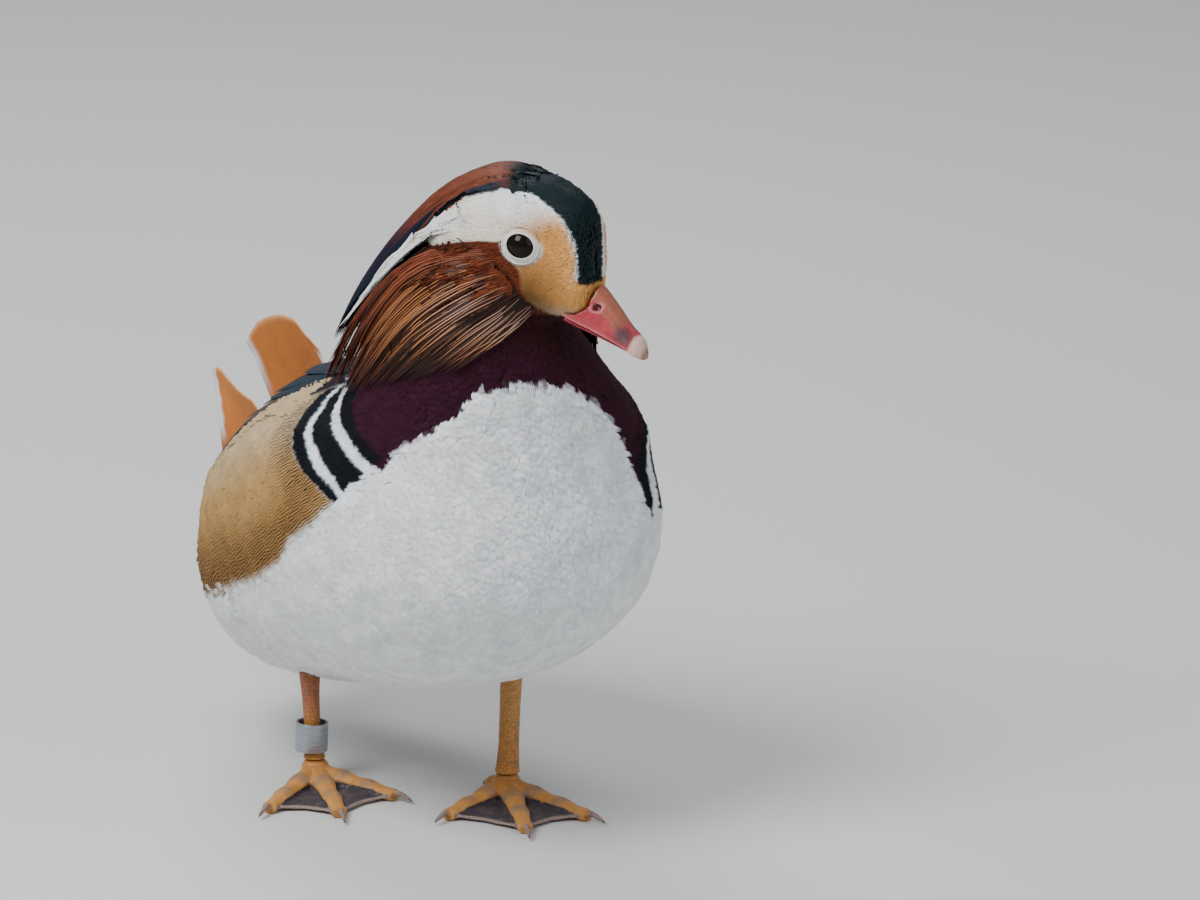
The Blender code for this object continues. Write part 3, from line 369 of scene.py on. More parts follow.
def markings(points, ragged=1.0):
    """(colour, strength of the fine dark flank lines) of the plumage at each point."""
    count = len(points)
    rag = cloud(points, 3.5 * MM, 5.0) * ragged
    body, stand, head = (in_frame(place, points) for place in (BODY, STANCE, HEAD))
    side, back, up = np.abs(body[:, 0]), body[:, 1], body[:, 2]
    left = body[:, 0] > 0
    colour = np.tile(PLUMES["white"], (count, 1))
    # Golden flank above the belly, darker along its lower edge, paler towards the wing
    at = back + 0.6 * rag + LEFT_BARS_AHEAD * left * step(18, -8, up)
    above = up + 1.6 * rag - edge_at(FLANK_EDGE, back)
    behind_bars = at - edge_at(SHOULDER_BARS[0], up)
    flank = step(-1.5, 3.5, above) * step(-0.5, 0.8, behind_bars) * step(100, 82, back)
    colour = painted(colour, "gold", flank)
    colour = painted(colour, "bronze", flank * 0.75 * step(30, 4, above) * step(-62, -34, back))
    colour = painted(colour, "stone", flank * 0.8 * step(16, 38, up))
    colour = painted(colour, "cream", flank * 0.5 * step(40, 48, up) * step(10, -25, back))
    fine = flank * (0.08 + 0.92 * step(30, 6, above)) + flank * step(26, 3, behind_bars)
    # Back, rump and mantle
    below_top = up + 1.2 * rag - edge_at(FLANK_TOP, back)
    top = step(-0.8, 0.8, below_top) * step(-2, 2, behind_bars)
    colour = painted(colour, "umber", top)
    colour = painted(colour, "ink", top * step(48, 20, back))
    rump = step(76, 96, back + 3 * rag) * step(-2, 8, up)
    colour = painted(colour, "umber", rump)
    # Maroon neck and breast
    places = [edge_at(keys, up) for keys in SHOULDER_BARS]
    around = np.degrees(np.arctan2(stand[:, 0], -(stand[:, 1] + 40)))
    edge = np.where(around > 0, edge_at(BREAST_EDGE_LEFT, around), edge_at(BREAST_EDGE_RIGHT, -around))
    over = stand[:, 2] + 2.6 * rag - edge
    fore = (at < places[4] - 1) | (stand[:, 2] > 158)
    colour = painted(colour, "maroon", step(-0.4, 0.6, over) * fore)
    nape = step(-30, -12, stand[:, 1] + 0.25 * (stand[:, 2] - 165))
    colour = painted(colour, "ink", nape * step(152, 160, stand[:, 2]) * (stand[:, 2] < 190))
    # Bars at the shoulder
    low = np.where(left, LEFT_BARS_FOOT, 0.6 + (-61 - back) * 0.5)
    barred = (side > 22) & (up + 1.5 * rag > low) & (up + rag < BARS_TOP) & (stand[:, 2] < 170)
    for k, name in enumerate(("black", "white", "black", "white", "black")):
        band = step(-0.35, 0.35, places[k] - at) * step(-0.35, 0.35, at - places[k + 1]) * barred
        colour = painted(colour, name, band)
        if name == "black":
            # Painted sheen: the front edge of each black bar is made blue-black with a teal tint, standing in for light
            # glancing off it.
            rim = step(1.3, 0.1, at - places[k + 1]) * (k < 4)
            colour = painted(colour, "ink", band * rim)
            colour = painted(colour, "bar_sheen_teal", band * rim * 0.7)
    over_bars = step(BARS_TOP - 1, BARS_TOP + 1, up + rag) * step(-72, -60, back) * (stand[:, 2] < 185)
    colour = painted(colour, "ink", over_bars)
    # Head: cream face, amber lores, rust cheek, dark crown
    on_head = (head[:, 2] > -30 + 0.5 * (head[:, 1] + 8)) & (stand[:, 2] > 172)
    x, y, z = np.abs(head[:, 0]), head[:, 1], head[:, 2]
    face = painted(np.tile(PLUMES["white"], (count, 1)), "cream", step(14, 2, z) * 0.8)
    amber = step(15, -4, z + 0.45 * y) * step(4, -17, y) * step(-27, -13, z)
    face = painted(face, "amber", np.clip(amber * 1.15, 0, 1))
    face = painted(face, "bronze", 0.85 * step(-2, -13, z) * step(-24, -13, y) * step(0, -10, y))
    face = painted(face, "umber", 0.5 * step(-9, -20, z) * step(-4, -14, y) * step(-27, -18, y))
    cheek = step(-0.9, 0.9, y - 0.5 * rag - edge_at(CHEEK_FRONT, z)) * step(0.4, -0.4, z - edge_at(CHEEK_TOP, y) - 0.2 * rag)
    face = painted(face, "rust", cheek)
    throat = step(-19.2, -21.2, z + 0.25 * x + 0.12 * (y + 20))
    face = painted(face, "chin", throat)
    ring = np.hypot((y + 8.6) / 6.9, (z - 0.1) / np.where(z > 0.1, 5.2, 6.1))
    face = painted(face, "white", step(1.12, 0.86, ring) * (x > 11))
    face = painted(face, "cream", 0.35 * step(1.12, 0.86, ring) * (x > 11))
    half = edge_at(CROWN_EDGE, y) - FAR_CROWN_IN * (head[:, 0] > 0) * step(-5, -13, y)
    crown = step(0.25, -0.25, x - half + 0.12 * rag) * (z > -8)
    brow = 0.6 + 0.8 * step(-16, -6, y) + 2 * (head[:, 0] > 0) * step(-6, -16, y)
    face = painted(face, "white", step(brow, brow * 0.5, np.abs(x - half)) * (z > -7) * (y < 12) * 0.85)
    # Painted sheen: violet laid over the dark green along the top of the crown, stronger towards the back.
    dark = painted(np.tile(PLUMES["green"], (count, 1)), "violet", step(-10, 2, y) * step(9, 3, x) * 0.7)
    dark = painted(dark, "rust", step(9, 13, y + 0.3 * x + rag))
    face = face * (1 - crown[:, None]) + dark * crown[:, None]
    face = painted(face, "ink", step(31, 36, y + 0.5 * z))
    colour = np.where(on_head[:, None], face, colour)
    fine = np.where(on_head, 0, np.clip(fine, 0, 1))
    return np.clip(colour, 0.002, 1), fine


def colour_attribute(mesh, colours, fine=None):
    """Keeps a colour, and the strength of the fine lines beside it, at each point of a mesh."""
    alpha = np.ones(len(colours)) if fine is None else fine
    values = np.column_stack([colours, alpha]).astype(np.float32)
    layer = mesh.color_attributes.new("plumage", "FLOAT_COLOR", "POINT")
    layer.data.foreach_set("color", values.ravel())


skin_colours, skin_lines = markings(skin_ground.points)
colour_attribute(skin.data, skin_colours * 0.8, skin_lines)


def linked(material, kind, **settings):
    node = material.node_tree.nodes.new(kind)
    for key, value in settings.items():
        setattr(node, key, value)
    return node


def mixed_colour(material, factor, first, second, blend="MIX"):
    """A colour mix node. Each input is a socket or a plain value. Returns its result socket."""
    node = linked(material, "ShaderNodeMix", data_type="RGBA", blend_type=blend)
    for socket, value in ((node.inputs[0], factor), (node.inputs[6], first), (node.inputs[7], second)):
        if isinstance(value, bpy.types.NodeSocket):
            material.node_tree.links.new(value, socket)
        else:
            socket.default_value = (*value, 1) if isinstance(value, tuple) else value
    return node.outputs[2]


def worked(material, operation, *values, clamp=False):
    """A math node on sockets or plain numbers. Returns its result socket."""
    node = linked(material, "ShaderNodeMath", operation=operation, use_clamp=clamp)
    for socket, value in zip(node.inputs, values):
        if isinstance(value, bpy.types.NodeSocket):
            material.node_tree.links.new(value, socket)
        else:
            socket.default_value = value
    return node.outputs[0]


def new_finish(name, roughness, sheen=0.0, specular=0.5):
    material = bpy.data.materials.new(name)
    material.use_nodes = True
    shader = material.node_tree.nodes["Principled BSDF"]
    shader.inputs["Roughness"].default_value = roughness
    shader.inputs["Sheen Weight"].default_value = sheen
    shader.inputs["Sheen Roughness"].default_value = 0.5
    shader.inputs["Specular IOR Level"].default_value = specular
    return material, shader


def plumage_finish(
    name, roughness=0.8, sheen=0.0, barbs=0.25, lines=False, gloss_tint=None, waves=(90, 46), shaft=0.0, cross=0.0
):
    """A feather finish: the plume's own colour, mottled, with fine barbs across each vane."""
    material, shader = new_finish(name, roughness, sheen, 0.13)
    links = material.node_tree.links
    plume = linked(material, "ShaderNodeVertexColor", layer_name="plumage")
    place = linked(material, "ShaderNodeTexCoord")
    mottle = linked(material, "ShaderNodeTexNoise")
    mottle.inputs["Scale"].default_value = 160
    mottle.inputs["Detail"].default_value = 4
    links.new(place.outputs["Object"], mottle.inputs["Vector"])
    shade = worked(material, "MULTIPLY_ADD", mottle.outputs["Fac"], 0.5, 0.76)
    vane = linked(material, "ShaderNodeUVMap", uv_map="vane")
    split = linked(material, "ShaderNodeSeparateXYZ")
    links.new(vane.outputs["UV"], split.inputs["Vector"])
    off_shaft = worked(material, "ABSOLUTE", worked(material, "SUBTRACT", split.outputs["X"], 0.5))
    slant = worked(material, "MULTIPLY", off_shaft, -float(waves[1]))
    barb = worked(material, "MULTIPLY_ADD", split.outputs["Y"], float(waves[0]), slant)
    barb = worked(material, "MULTIPLY_ADD", split.outputs["X"], float(cross), barb)
    ripple = worked(material, "SINE", barb)
    shade = worked(material, "MULTIPLY_ADD", ripple, 0.10 * barbs, shade)
    if shaft:
        ridge = worked(material, "MULTIPLY_ADD", off_shaft, -28.0, 1.0, clamp=True)
        shade = worked(material, "MULTIPLY_ADD", ridge, -shaft, shade)
    tint = linked(material, "ShaderNodeCombineColor")
    for channel in tint.inputs:
        links.new(shade, channel)
    colour = mixed_colour(material, 1.0, plume.outputs["Color"], tint.outputs["Color"], "MULTIPLY")
    if lines:
        bands = linked(material, "ShaderNodeTexWave", wave_type="BANDS", bands_direction="Z")
        bands.inputs["Scale"].default_value = 290
        bands.inputs["Distortion"].default_value = 5
        bands.inputs["Detail"].default_value = 2
        bands.inputs["Detail Scale"].default_value = 0.6
        turned = linked(material, "ShaderNodeMapping")
        turned.inputs["Rotation"].default_value = (math.radians(38), 0, 0)
        links.new(place.outputs["Object"], turned.inputs["Vector"])
        links.new(turned.outputs["Vector"], bands.inputs["Vector"])
        sharp = worked(material, "MULTIPLY_ADD", bands.outputs["Fac"], 3.0, -1.2, clamp=True)
        dark = worked(material, "MULTIPLY", sharp, plume.outputs["Alpha"])
        dark = worked(material, "MULTIPLY", dark, 0.85)
        colour = mixed_colour(material, dark, colour, (0.012, 0.007, 0.004))
    links.new(colour, shader.inputs["Base Color"])
    if gloss_tint:
        shader.inputs["Coat Weight"].default_value = 0.04
        shader.inputs["Coat Roughness"].default_value = 0.35
        shader.inputs["Coat Tint"].default_value = (*gloss_tint, 1)
        shader.inputs["Sheen Tint"].default_value = (*gloss_tint, 1)
    bump = linked(material, "ShaderNodeBump")
    bump.inputs["Strength"].default_value = barbs
    bump.inputs["Distance"].default_value = 0.1 * MM
    height = worked(material, "MULTIPLY_ADD", ripple, 0.5, mottle.outputs["Fac"])
    links.new(height, bump.inputs["Height"])
    links.new(bump.outputs["Normal"], shader.inputs["Normal"])
    return material


soft_plumage = plumage_finish("soft_plumage", 0.85, 0.0, 0.2, lines=True)
skin.data.materials.append(soft_plumage)
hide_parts("torso", "neck", "head")
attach(skin, "root")

# The coat of small body feathers. Each is a thin vane that grows out of the skin and lies along the
# body, over the roots of the next ones: tiny on the face, larger on the flank, loose at the vent.


def unit(vectors):
    return vectors / np.maximum(np.linalg.norm(vectors, axis=-1), 1e-9)[..., None]


def dot(a, b):
    return (a * b).sum(-1)[..., None]


def lie_of_coat(points, normals):
    """The way the feathers point: back from the bill, down the neck, then back along the body."""
    stand, body = in_frame(STANCE, points), in_frame(BODY, points)
    head_way = np.array(HEAD_TURN @ Vector((0, 1, -0.28)))
    neck_way = np.array((0, 0.35, -1.0))
    body_way = np.array(BODY.to_3x3() @ Vector((0, 1, -0.16)))
    at_head = step(186, 200, stand[:, 2])[:, None]
    at_body = step(166, 138, stand[:, 2])[:, None]
    way = head_way * at_head + body_way * at_body + neck_way * (1 - at_head - at_body)
    way[:, 0] += 0.004 * body[:, 0] * at_body[:, 0]
    return unit(way - normals * dot(way, normals))


def joined_vanes(name, places, faces, colours, vane_map, bake_places, normals, fine=None):
    """One mesh of many like vanes. places is (vanes, points, 3) and faces indexes one vane's points."""
    vanes, points, _ = places.shape
    faces = np.asarray(faces)
    first, second, third = (places[:, faces[:, k]] for k in range(3))
    if (np.cross(second - first, third - first) * normals[:, faces[:, 0]]).sum() < 0:
        faces = faces[:, ::-1]
    triangles = faces[None] + (np.arange(vanes) * points)[:, None, None]
    corners = triangles.reshape(-1).astype(np.int32)
    mesh = bpy.data.meshes.new(name)
    mesh.vertices.add(vanes * points)
    mesh.vertices.foreach_set("co", places.astype(np.float32).ravel())
    mesh.loops.add(len(corners))
    mesh.loops.foreach_set("vertex_index", corners)
    mesh.polygons.add(len(corners) // 3)
    mesh.polygons.foreach_set("loop_start", np.arange(0, len(corners), 3, dtype=np.int32))
    mesh.update(calc_edges=True)
    vane_map = np.asarray(vane_map, float)
    own = np.tile(vane_map, (vanes, 1))
    baked = (bake_places[:, None] + (vane_map - 0.5)[None] * 0.003).reshape(-1, 2)
    for layer_name, values in (("OFBake", baked), ("vane", own)):
        layer = mesh.uv_layers.new(name=layer_name)
        layer.data.foreach_set("uv", values[corners].astype(np.float32).ravel())
    colours = np.broadcast_to(colours, (vanes, points, 3)).reshape(-1, 3)
    lines = None
    if fine is not None:
        lines = fine.ravel() if fine.size == vanes * points else np.repeat(fine, points)
    colour_attribute(mesh, colours, lines)
    mesh.shade_smooth()
    mesh.normals_split_custom_set_from_vertices(normals.reshape(-1, 3).tolist())
    piece = bpy.data.objects.new(name, mesh)
    bpy.context.scene.collection.objects.link(piece)
    return piece


# A body feather as (share of length, share of half width) points: a root, two rows and a frayed tip
DOWNY_POINTS = (
    (0, 0), (0.38, -0.8), (0.38, 0.8), (0.72, -1), (0.72, -0.5), (0.72, 0), (0.72, 0.5), (0.72, 1),
    (0.93, -0.8), (1.0, -0.28), (0.97, 0.32), (0.9, 0.78),
)
DOWNY_FACES = (
    (0, 2, 1), (1, 4, 3), (1, 5, 4), (1, 2, 5), (2, 6, 5), (2, 7, 6),
    (3, 4, 8), (4, 5, 9), (5, 6, 10), (6, 7, 11),
)
# A sleek feather with a rounded tip
SLEEK_POINTS = (
    (0, 0), (0.3, -0.75), (0.3, 0), (0.3, 0.75), (0.62, -1), (0.62, 0), (0.62, 1), (0.85, -0.82), (0.88, 0), (0.85, 0.82),
    (1.0, -0.3), (1.0, 0.3),
)
SLEEK_FACES = (
    (0, 2, 1), (0, 3, 2), (1, 5, 4), (1, 2, 5), (2, 3, 5), (3, 6, 5), (4, 8, 7), (4, 5, 8), (5, 6, 8), (6, 9, 8),
    (7, 8, 10), (8, 11, 10), (8, 9, 11),
)
# A tiny tuft of the face
TUFT_POINTS = ((0, 0), (0.5, -1), (0.55, 0), (0.5, 1), (1, 0))
TUFT_FACES = ((0, 2, 1), (0, 3, 2), (1, 2, 4), (2, 3, 4))


def laid_feathers(
    name, ground, roots, normals, flat, shape, length, half_width, lifts, colours, fine=None,
    camber=0.25, way_of=lie_of_coat, stray=0.12, seed=1, softness=0.6, root_shade_tip_light=(0.78, 1.12), by_point=False,
    rounding=0.35,
):
    """Feathers of one shape laid along the coat from their roots. Lengths are in metres."""
    random = np.random.default_rng(seed)
    count = len(roots)
    points, faces = shape
    ways = way_of(roots, normals)
    turn = random.normal(0, stray, count)[:, None]
    ways = unit(ways + np.cross(normals, ways) * turn)
    length = np.broadcast_to(length, count) * random.uniform(0.85, 1.12, count)
    half_width = np.broadcast_to(half_width, count) * random.uniform(0.9, 1.1, count)
    middle, mid_normal, _ = ground.nearest(roots + ways * (length * 0.5)[:, None])
    end, end_normal, _ = ground.nearest(roots + ways * length[:, None])
    low, high = (np.broadcast_to(lift, count) for lift in lifts)
    high = high * random.uniform(0.8, 1.2, count)
    along = np.array([p[0] for p in points])[None, :, None]
    sideways = np.array([p[1] for p in points])[None, :, None]
    near = (1 - along) * (1 - 2 * along)
    mid = 4 * along * (1 - along)
    far = along * (2 * along - 1)
    line = roots[:, None] * near + middle[:, None] * mid + end[:, None] * far
    out = unit(normals[:, None] * (1 - along) + end_normal[:, None] * along)
    across = unit(np.cross(out, unit(end - roots)[:, None]))
    width = half_width[:, None, None]
    lift = low[:, None, None] + (high - low)[:, None, None] * along
    roll = random.normal(0, 0.08, count)[:, None, None]
    places = line + across * sideways * width + out * (
        lift - camber * width * sideways**2 + roll * sideways * width
    )
    shade = random.uniform(0.92, 1.08, count)[:, None, None]
    # Painted shade and light: each feather is darker at its root, under the ones that lie over it, and lighter towards
    # its tip.
    tone = root_shade_tip_light[0] + (root_shade_tip_light[1] - root_shade_tip_light[0]) * np.clip(along * 1.1, 0, 1)
    if by_point:
        own, fine = markings(places.reshape(-1, 3), 0.6)
        own = own.reshape(count, -1, 3)
        rusty = (own[..., 0] > 3.2 * own[..., 1])[..., None]
        own = np.where(rusty, own * random.uniform(0.45, 1.15, count)[:, None, None], own)
    else:
        own = colours[:, None]
    colours = np.clip(own * shade * tone, 0, 1)
    vane_map = [(0.5 + 0.5 * s, t) for t, s in points]
    lean = unit(end - roots)[:, None] * 0.25 * (along - 0.5)
    dimples = np.stack([cloud(roots, 7 * MM, k) for k in (20.0, 40.0, 60.0)], -1)[:, None] * 0.22
    soft = unit(out + across * sideways * rounding + lean * softness + dimples)
    return joined_vanes(name, places, faces, colours, vane_map, flat, soft, fine)


DOWNY = (DOWNY_POINTS, DOWNY_FACES)
SLEEK = (SLEEK_POINTS, SLEEK_FACES)
TUFT = (TUFT_POINTS, TUFT_FACES)


def region(points):
    """The coat region of each point: 0 face, 1 neck and breast, 2 belly, 3 flank, 4 back, 5 vent, 6 crown, 7 bars,
    8 bare under the crest."""
    body, stand, head = (in_frame(place, points) for place in (BODY, STANCE, HEAD))
    colour, fine = markings(points, 0)
    white = colour.min(1) > 0.5
    found = np.full(len(points), 3)
    found[white] = 2
    found[body[:, 2] > edge_at(FLANK_TOP, body[:, 1])] = 4
    found[(body[:, 1] > 66) | ((body[:, 1] > 30) & (body[:, 2] < -8))] = 5
    rear = edge_at(SHOULDER_BARS[0], body[:, 2]) + 3
    front = edge_at(SHOULDER_BARS[5], body[:, 2]) - 3 - LEFT_BARS_AHEAD * (body[:, 0] > 0)
    foot = np.where(body[:, 0] > 0, LEFT_BARS_FOOT - 4, -2)
    beside = (np.abs(body[:, 0]) > 22) & (body[:, 1] < rear) & (body[:, 1] > front) & (body[:, 2] > foot)
    found[(stand[:, 2] > 128) & (colour[:, 0] < 0.06) & (stand[:, 1] < -30)] = 1
    found[stand[:, 2] > 160] = 1
    found[beside & (body[:, 2] < BARS_TOP + 2)] = 7
    on_head = (stand[:, 2] > 186) & (head[:, 2] > -31 + 0.5 * (head[:, 1] + 8))
    found[on_head] = 0
    crown = np.abs(head[:, 0]) < edge_at(CROWN_EDGE, head[:, 1])
    found[on_head & crown & (head[:, 2] > -8)] = 6
    found[(found == 6) & (head[:, 1] > 1) & (np.abs(head[:, 0]) < 9)] = 8
    return found


def in_region(*wanted):
    return lambda points, normals: np.isin(region(points), wanted)


COAT = (
    # name, region, spacing, shape, length, half width, lifts at root and tip, stray, painted shade at the root and
    # light at the tip, rounding, seed
    ("breast_feathers", 1, 1.2, DOWNY, 5.2, 1.1, (-0.2, 1.1), 0.08, (0.75, 1.2), 0.3, 11),
    ("belly_feathers", 2, 1.0, DOWNY, 5.8, 1.0, (-0.1, 0.95), 0.14, (0.96, 1.02), 0.10, 12),
    ("flank_feathers", 3, 1.4, SLEEK, 6.6, 1.8, (-0.2, 1.3), 0.06, (0.85, 1.06), 0.2, 13),
    ("back_feathers", 4, 1.7, SLEEK, 7.5, 2.0, (-0.2, 1.3), 0.08, (0.7, 1.2), 0.35, 14),
    ("vent_feathers", 5, 1.25, DOWNY, 9.5, 1.1, (-0.3, 2.2), 0.24, (0.9, 1.04), 0.15, 15),
    ("crown_feathers", 6, 0.75, SLEEK, 3.8, 0.7, (0.2, 1.0), 0.04, (0.85, 1.15), 0.15, 16),
    ("bar_feathers", 7, 1.0, DOWNY, 4.4, 0.9, (-0.2, 1.3), 0.10, (0.85, 1.1), 0.25, 17),
)
silky = plumage_finish("silky_plumage", 0.5, 0.0, 0.35, waves=(200, 60), gloss_tint=(0.6, 0.75, 1.0))
for name, wanted, spacing, shape, length, half_width, lifts, stray, root_shade_tip_light, rounding, seed in COAT:
    roots, normals, flat = skin_ground.spread(spacing * MM, in_region(wanted), seed)
    ways = lie_of_coat(roots, normals)
    colours, fine = markings(roots + ways * length * 0.65 * MM)
    billow = cloud(roots, 9 * MM, 2.0)
    lift = (lifts[0] * MM, (lifts[1] + (0.0 if wanted > 5 else 0.4) * billow) * MM)
    if wanted in (2, 5):
        colours = colours * (1 - 0.06 * np.clip(cloud(roots, 7 * MM, 9.0) - 0.1, 0, 1))[:, None]
    coat = laid_feathers(
        name, skin_ground, roots, normals, flat, shape, length * MM, half_width * MM, lift, colours,
        fine, stray=stray, seed=seed, root_shade_tip_light=root_shade_tip_light, rounding=rounding, by_point=wanted in (3, 6, 7),
    )
    coat.data.materials.append(silky if wanted == 6 else soft_plumage)
    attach(coat, "root")

# The face's feathers, short and close as velvet, smallest round the eye and at the bill.
roots, normals, flat = skin_ground.spread(0.43 * MM, in_region(0), 21)
head_places = in_frame(HEAD, roots)
from_eye = np.hypot((head_places[:, 1] + 9.0) / 6.1, (head_places[:, 2] - 0.3) / 5.2)
clear_of_eye = (from_eye > 1) | (np.abs(head_places[:, 0]) < 10)
roots, normals, flat, from_eye = (v[clear_of_eye] for v in (roots, normals, flat, from_eye))
length = (1.3 + 1.3 * step(1.2, 4, from_eye)) * MM
tip_lift = (0.85 + 0.15 * step(1, 2, from_eye)) * MM
face_coat = laid_feathers(
    "face_feathers", skin_ground, roots, normals, flat, TUFT, length, 0.34 * MM,
    (0.1 * MM, tip_lift), None, stray=0.10, seed=21, root_shade_tip_light=(0.96, 1.02), by_point=True, rounding=0.12,
)
velvet = plumage_finish("velvet_plumage", 0.8, 0.0, 0.15)
face_coat.data.materials.append(velvet)
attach(face_coat, "root")

# The crest: long loose feathers from the crown down past the nape, green, then rust, then violet and
# blue, with a white streak along each lower edge.
CREST_EDGE = ((-3, 19.5), (6, 18.4), (16, 13.6), (29.5, 2), (41, -16), (49, -33), (54, -48), (57, -62))
CREST_HALF_WIDTH = ((0, 9.5), (0.2, 12.5), (0.4, 15), (0.7, 13.5), (1, 5))
CREST_ROUND = 15
CREST_LOCKS = 900


def mesh_of(name, material, slot_name, piece, *nodes):
    """Finishes a piece, which may stand for solid nodes."""
    piece.data.materials.append(material)
    if nodes:
        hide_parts(*nodes)
    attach(piece, "root")


def crest_line(share):
    """(distance back, height) on a smooth curve through the crest's edge."""
    keys = np.array(CREST_EDGE, float)
    place = np.clip(share, 0, 1) * (len(keys) - 1)
    i = np.clip(place.astype(int), 0, len(keys) - 2)
    t = (place - i)[..., None]
    before, start, end, after = (keys[np.clip(i + k, 0, len(keys) - 1)] for k in (-1, 0, 1, 2))
    curve = 2 * before - 5 * start + 4 * end - after + t * (3 * (start - end) + after - before)
    line = start + 0.5 * t * (end - before + t * curve)
    return line[..., 0], line[..., 1]


def crest_places(share, sideways, lift):
    """Places and outward normals on the crest's rounded back, in metres."""
    back, rise = crest_line(share)
    next_back, next_rise = crest_line(np.clip(share + 0.04, 0, 1))
    last_back, last_rise = crest_line(np.clip(share - 0.04, 0, 1))
    run, fall = next_back - last_back, next_rise - last_rise
    size = np.hypot(run, fall)
    run, fall = run / size, fall / size
    outward = np.stack([np.zeros_like(run), -fall, run], -1)
    angle = sideways / CREST_ROUND
    drop = CREST_ROUND * (1 - np.cos(angle))
    place = np.stack([CREST_ROUND * np.sin(angle), back, rise], -1) + outward * (lift - drop)[..., None]
    normal = np.stack([np.sin(angle), np.zeros_like(angle), np.zeros_like(angle)], -1)
    normal = normal + outward * np.cos(angle)[..., None]
    turn, middle = np.array(HEAD.to_3x3()), np.array(HEAD.translation)
    return place * MM @ turn.T + middle, unit(normal @ turn.T)


def lock_width(t):
    return (0.45 + 0.55 * np.sin(np.pi * np.minimum(1, 2.2 * t) / 2)) * (1 - t**2.4) ** 0.75


def long_locks(
    name, lines, normals, half_widths, colours, ground, width_of=lock_width, columns=3, camber=0.3, fine=None,
    rounding=0.45,
):
    """Long vanes along lines of (vanes, stations, 3) places with outward normals there."""
    vanes, stations, _ = lines.shape
    share = np.linspace(0, 1, stations)
    along = unit(np.gradient(lines, axis=1))
    across = unit(np.cross(normals, along))
    out = unit(np.cross(along, across))
    width = width_of(share)[None] * np.asarray(half_widths)[:, None]
    sides = np.linspace(-1, 1, columns)
    rows = (
        lines[:, :, None]
        + across[:, :, None] * (width[:, :, None] * sides)[..., None]
        - out[:, :, None] * (camber * width[:, :, None] * sides**2)[..., None]
    )
    places = rows.reshape(vanes, stations * columns, 3)
    faces = []
    for i in range(stations - 1):
        for k in range(columns - 1):
            a, b = i * columns + k, i * columns + k + 1
            faces += [(a, b, b + columns), (a, b + columns, a + columns)]
    vane_map = [(0.5 + 0.5 * s, t) for t in share for s in sides]
    _, _, flat = ground.nearest(lines[:, 0])
    if colours.ndim == 4:
        spread = colours.reshape(vanes, stations * columns, 3)
    else:
        spread = np.repeat(colours, columns, axis=1) if colours.ndim == 3 else colours[:, None]
    shading = unit(out[:, :, None] + across[:, :, None] * (rounding * sides)[None, None, :, None])
    shading = shading.reshape(vanes, stations * columns, 3)
    return joined_vanes(name, places, faces, spread, vane_map, flat, shading, fine)


def crest_colours(share, sideways):
    """Colour along and across the crest."""
    half = np.interp(share, [k[0] for k in CREST_HALF_WIDTH], [k[1] for k in CREST_HALF_WIDTH])
    wide = np.abs(sideways) / half
    shape = share.shape
    flat = [v.ravel() for v in (share, wide)]
    colours = np.tile(PLUMES["green"], (flat[0].size, 1))
    colours = painted(colours, "rust", step(0.15, 0.23, flat[0] + 0.06 * flat[1]))
    colours = painted(colours, "violet", step(0.50, 0.66, flat[0] + 0.06 * flat[1]))
    colours = painted(colours, "ink", step(0.72, 0.95, flat[0]) * 0.75)
    colours = painted(colours, "ink", step(0.86, 0.94, flat[1]) * step(0.1, 0.2, flat[0]))
    return colours.reshape(*shape, 3)


crest_core = fused(copied("crest_core", "crest"), 0.0, 0.8 * MM, 3, 0.45 * MM)
places = points_of(crest_core)
sunk = 1.1 * MM * step(8, -1, in_frame(HEAD, places)[:, 1])
places = places - sunk[:, None] * np.array(HEAD.to_3x3())[:, 2]
crest_core.data.vertices.foreach_set("co", places.ravel())
unwrapped(crest_core)
crest_ground = Ground(crest_core)


def crest_share(points):
    """Share along the crest and sideways place of points in metres."""
    place = in_frame(HEAD, points)
    fine_share = np.linspace(0, 1, 120)
    line = np.column_stack(crest_line(fine_share))
    gap = ((place[:, None, 1:3] - line[None]) ** 2).sum(-1)
    return fine_share[gap.argmin(1)], place[:, 0]


core_share, core_side = crest_share(crest_ground.points)
colour_attribute(crest_core.data, crest_colours(core_share, core_side) * 0.75)
mesh_of("crest_core", silky, "crest_plumage", crest_core, "crest")

random = np.random.default_rng(31)
start = np.sort(random.uniform(0.0, 0.62, CREST_LOCKS))
reach = np.clip(start + random.uniform(0.28, 0.52, CREST_LOCKS), 0, 1)
sideways = random.uniform(-1, 1, CREST_LOCKS)
stations = 9
share = start[:, None] + (reach - start)[:, None] * np.linspace(0, 1, stations)
half = np.interp(share, [k[0] for k in CREST_HALF_WIDTH], [k[1] for k in CREST_HALF_WIDTH])
side_place = sideways[:, None] * half
lift = -1.0 + 1.3 * step(0, 0.12, share) + 2.7 * step(0.02, 0.3, share) * (1 - 0.6 * share) + random.uniform(-0.3, 0.5, CREST_LOCKS)[:, None]
lift = lift - 2.2 * np.clip(1 - 4 * np.linspace(0, 1, stations), 0, 1)
lines, normals = crest_places(share, side_place, lift)
colours = crest_colours(share, side_place)
colours = colours * random.uniform(0.45, 1.25, CREST_LOCKS)[:, None, None]
crest = long_locks("crest_feathers", lines, normals, random.uniform(0.5, 1.1, CREST_LOCKS) * MM, colours, crest_ground)
crest.data.materials.append(silky)
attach(crest, "root")

# The white streak: slim feathers that run on from the white of the face along the crest's lower edge.
STREAK_LOCKS = 220
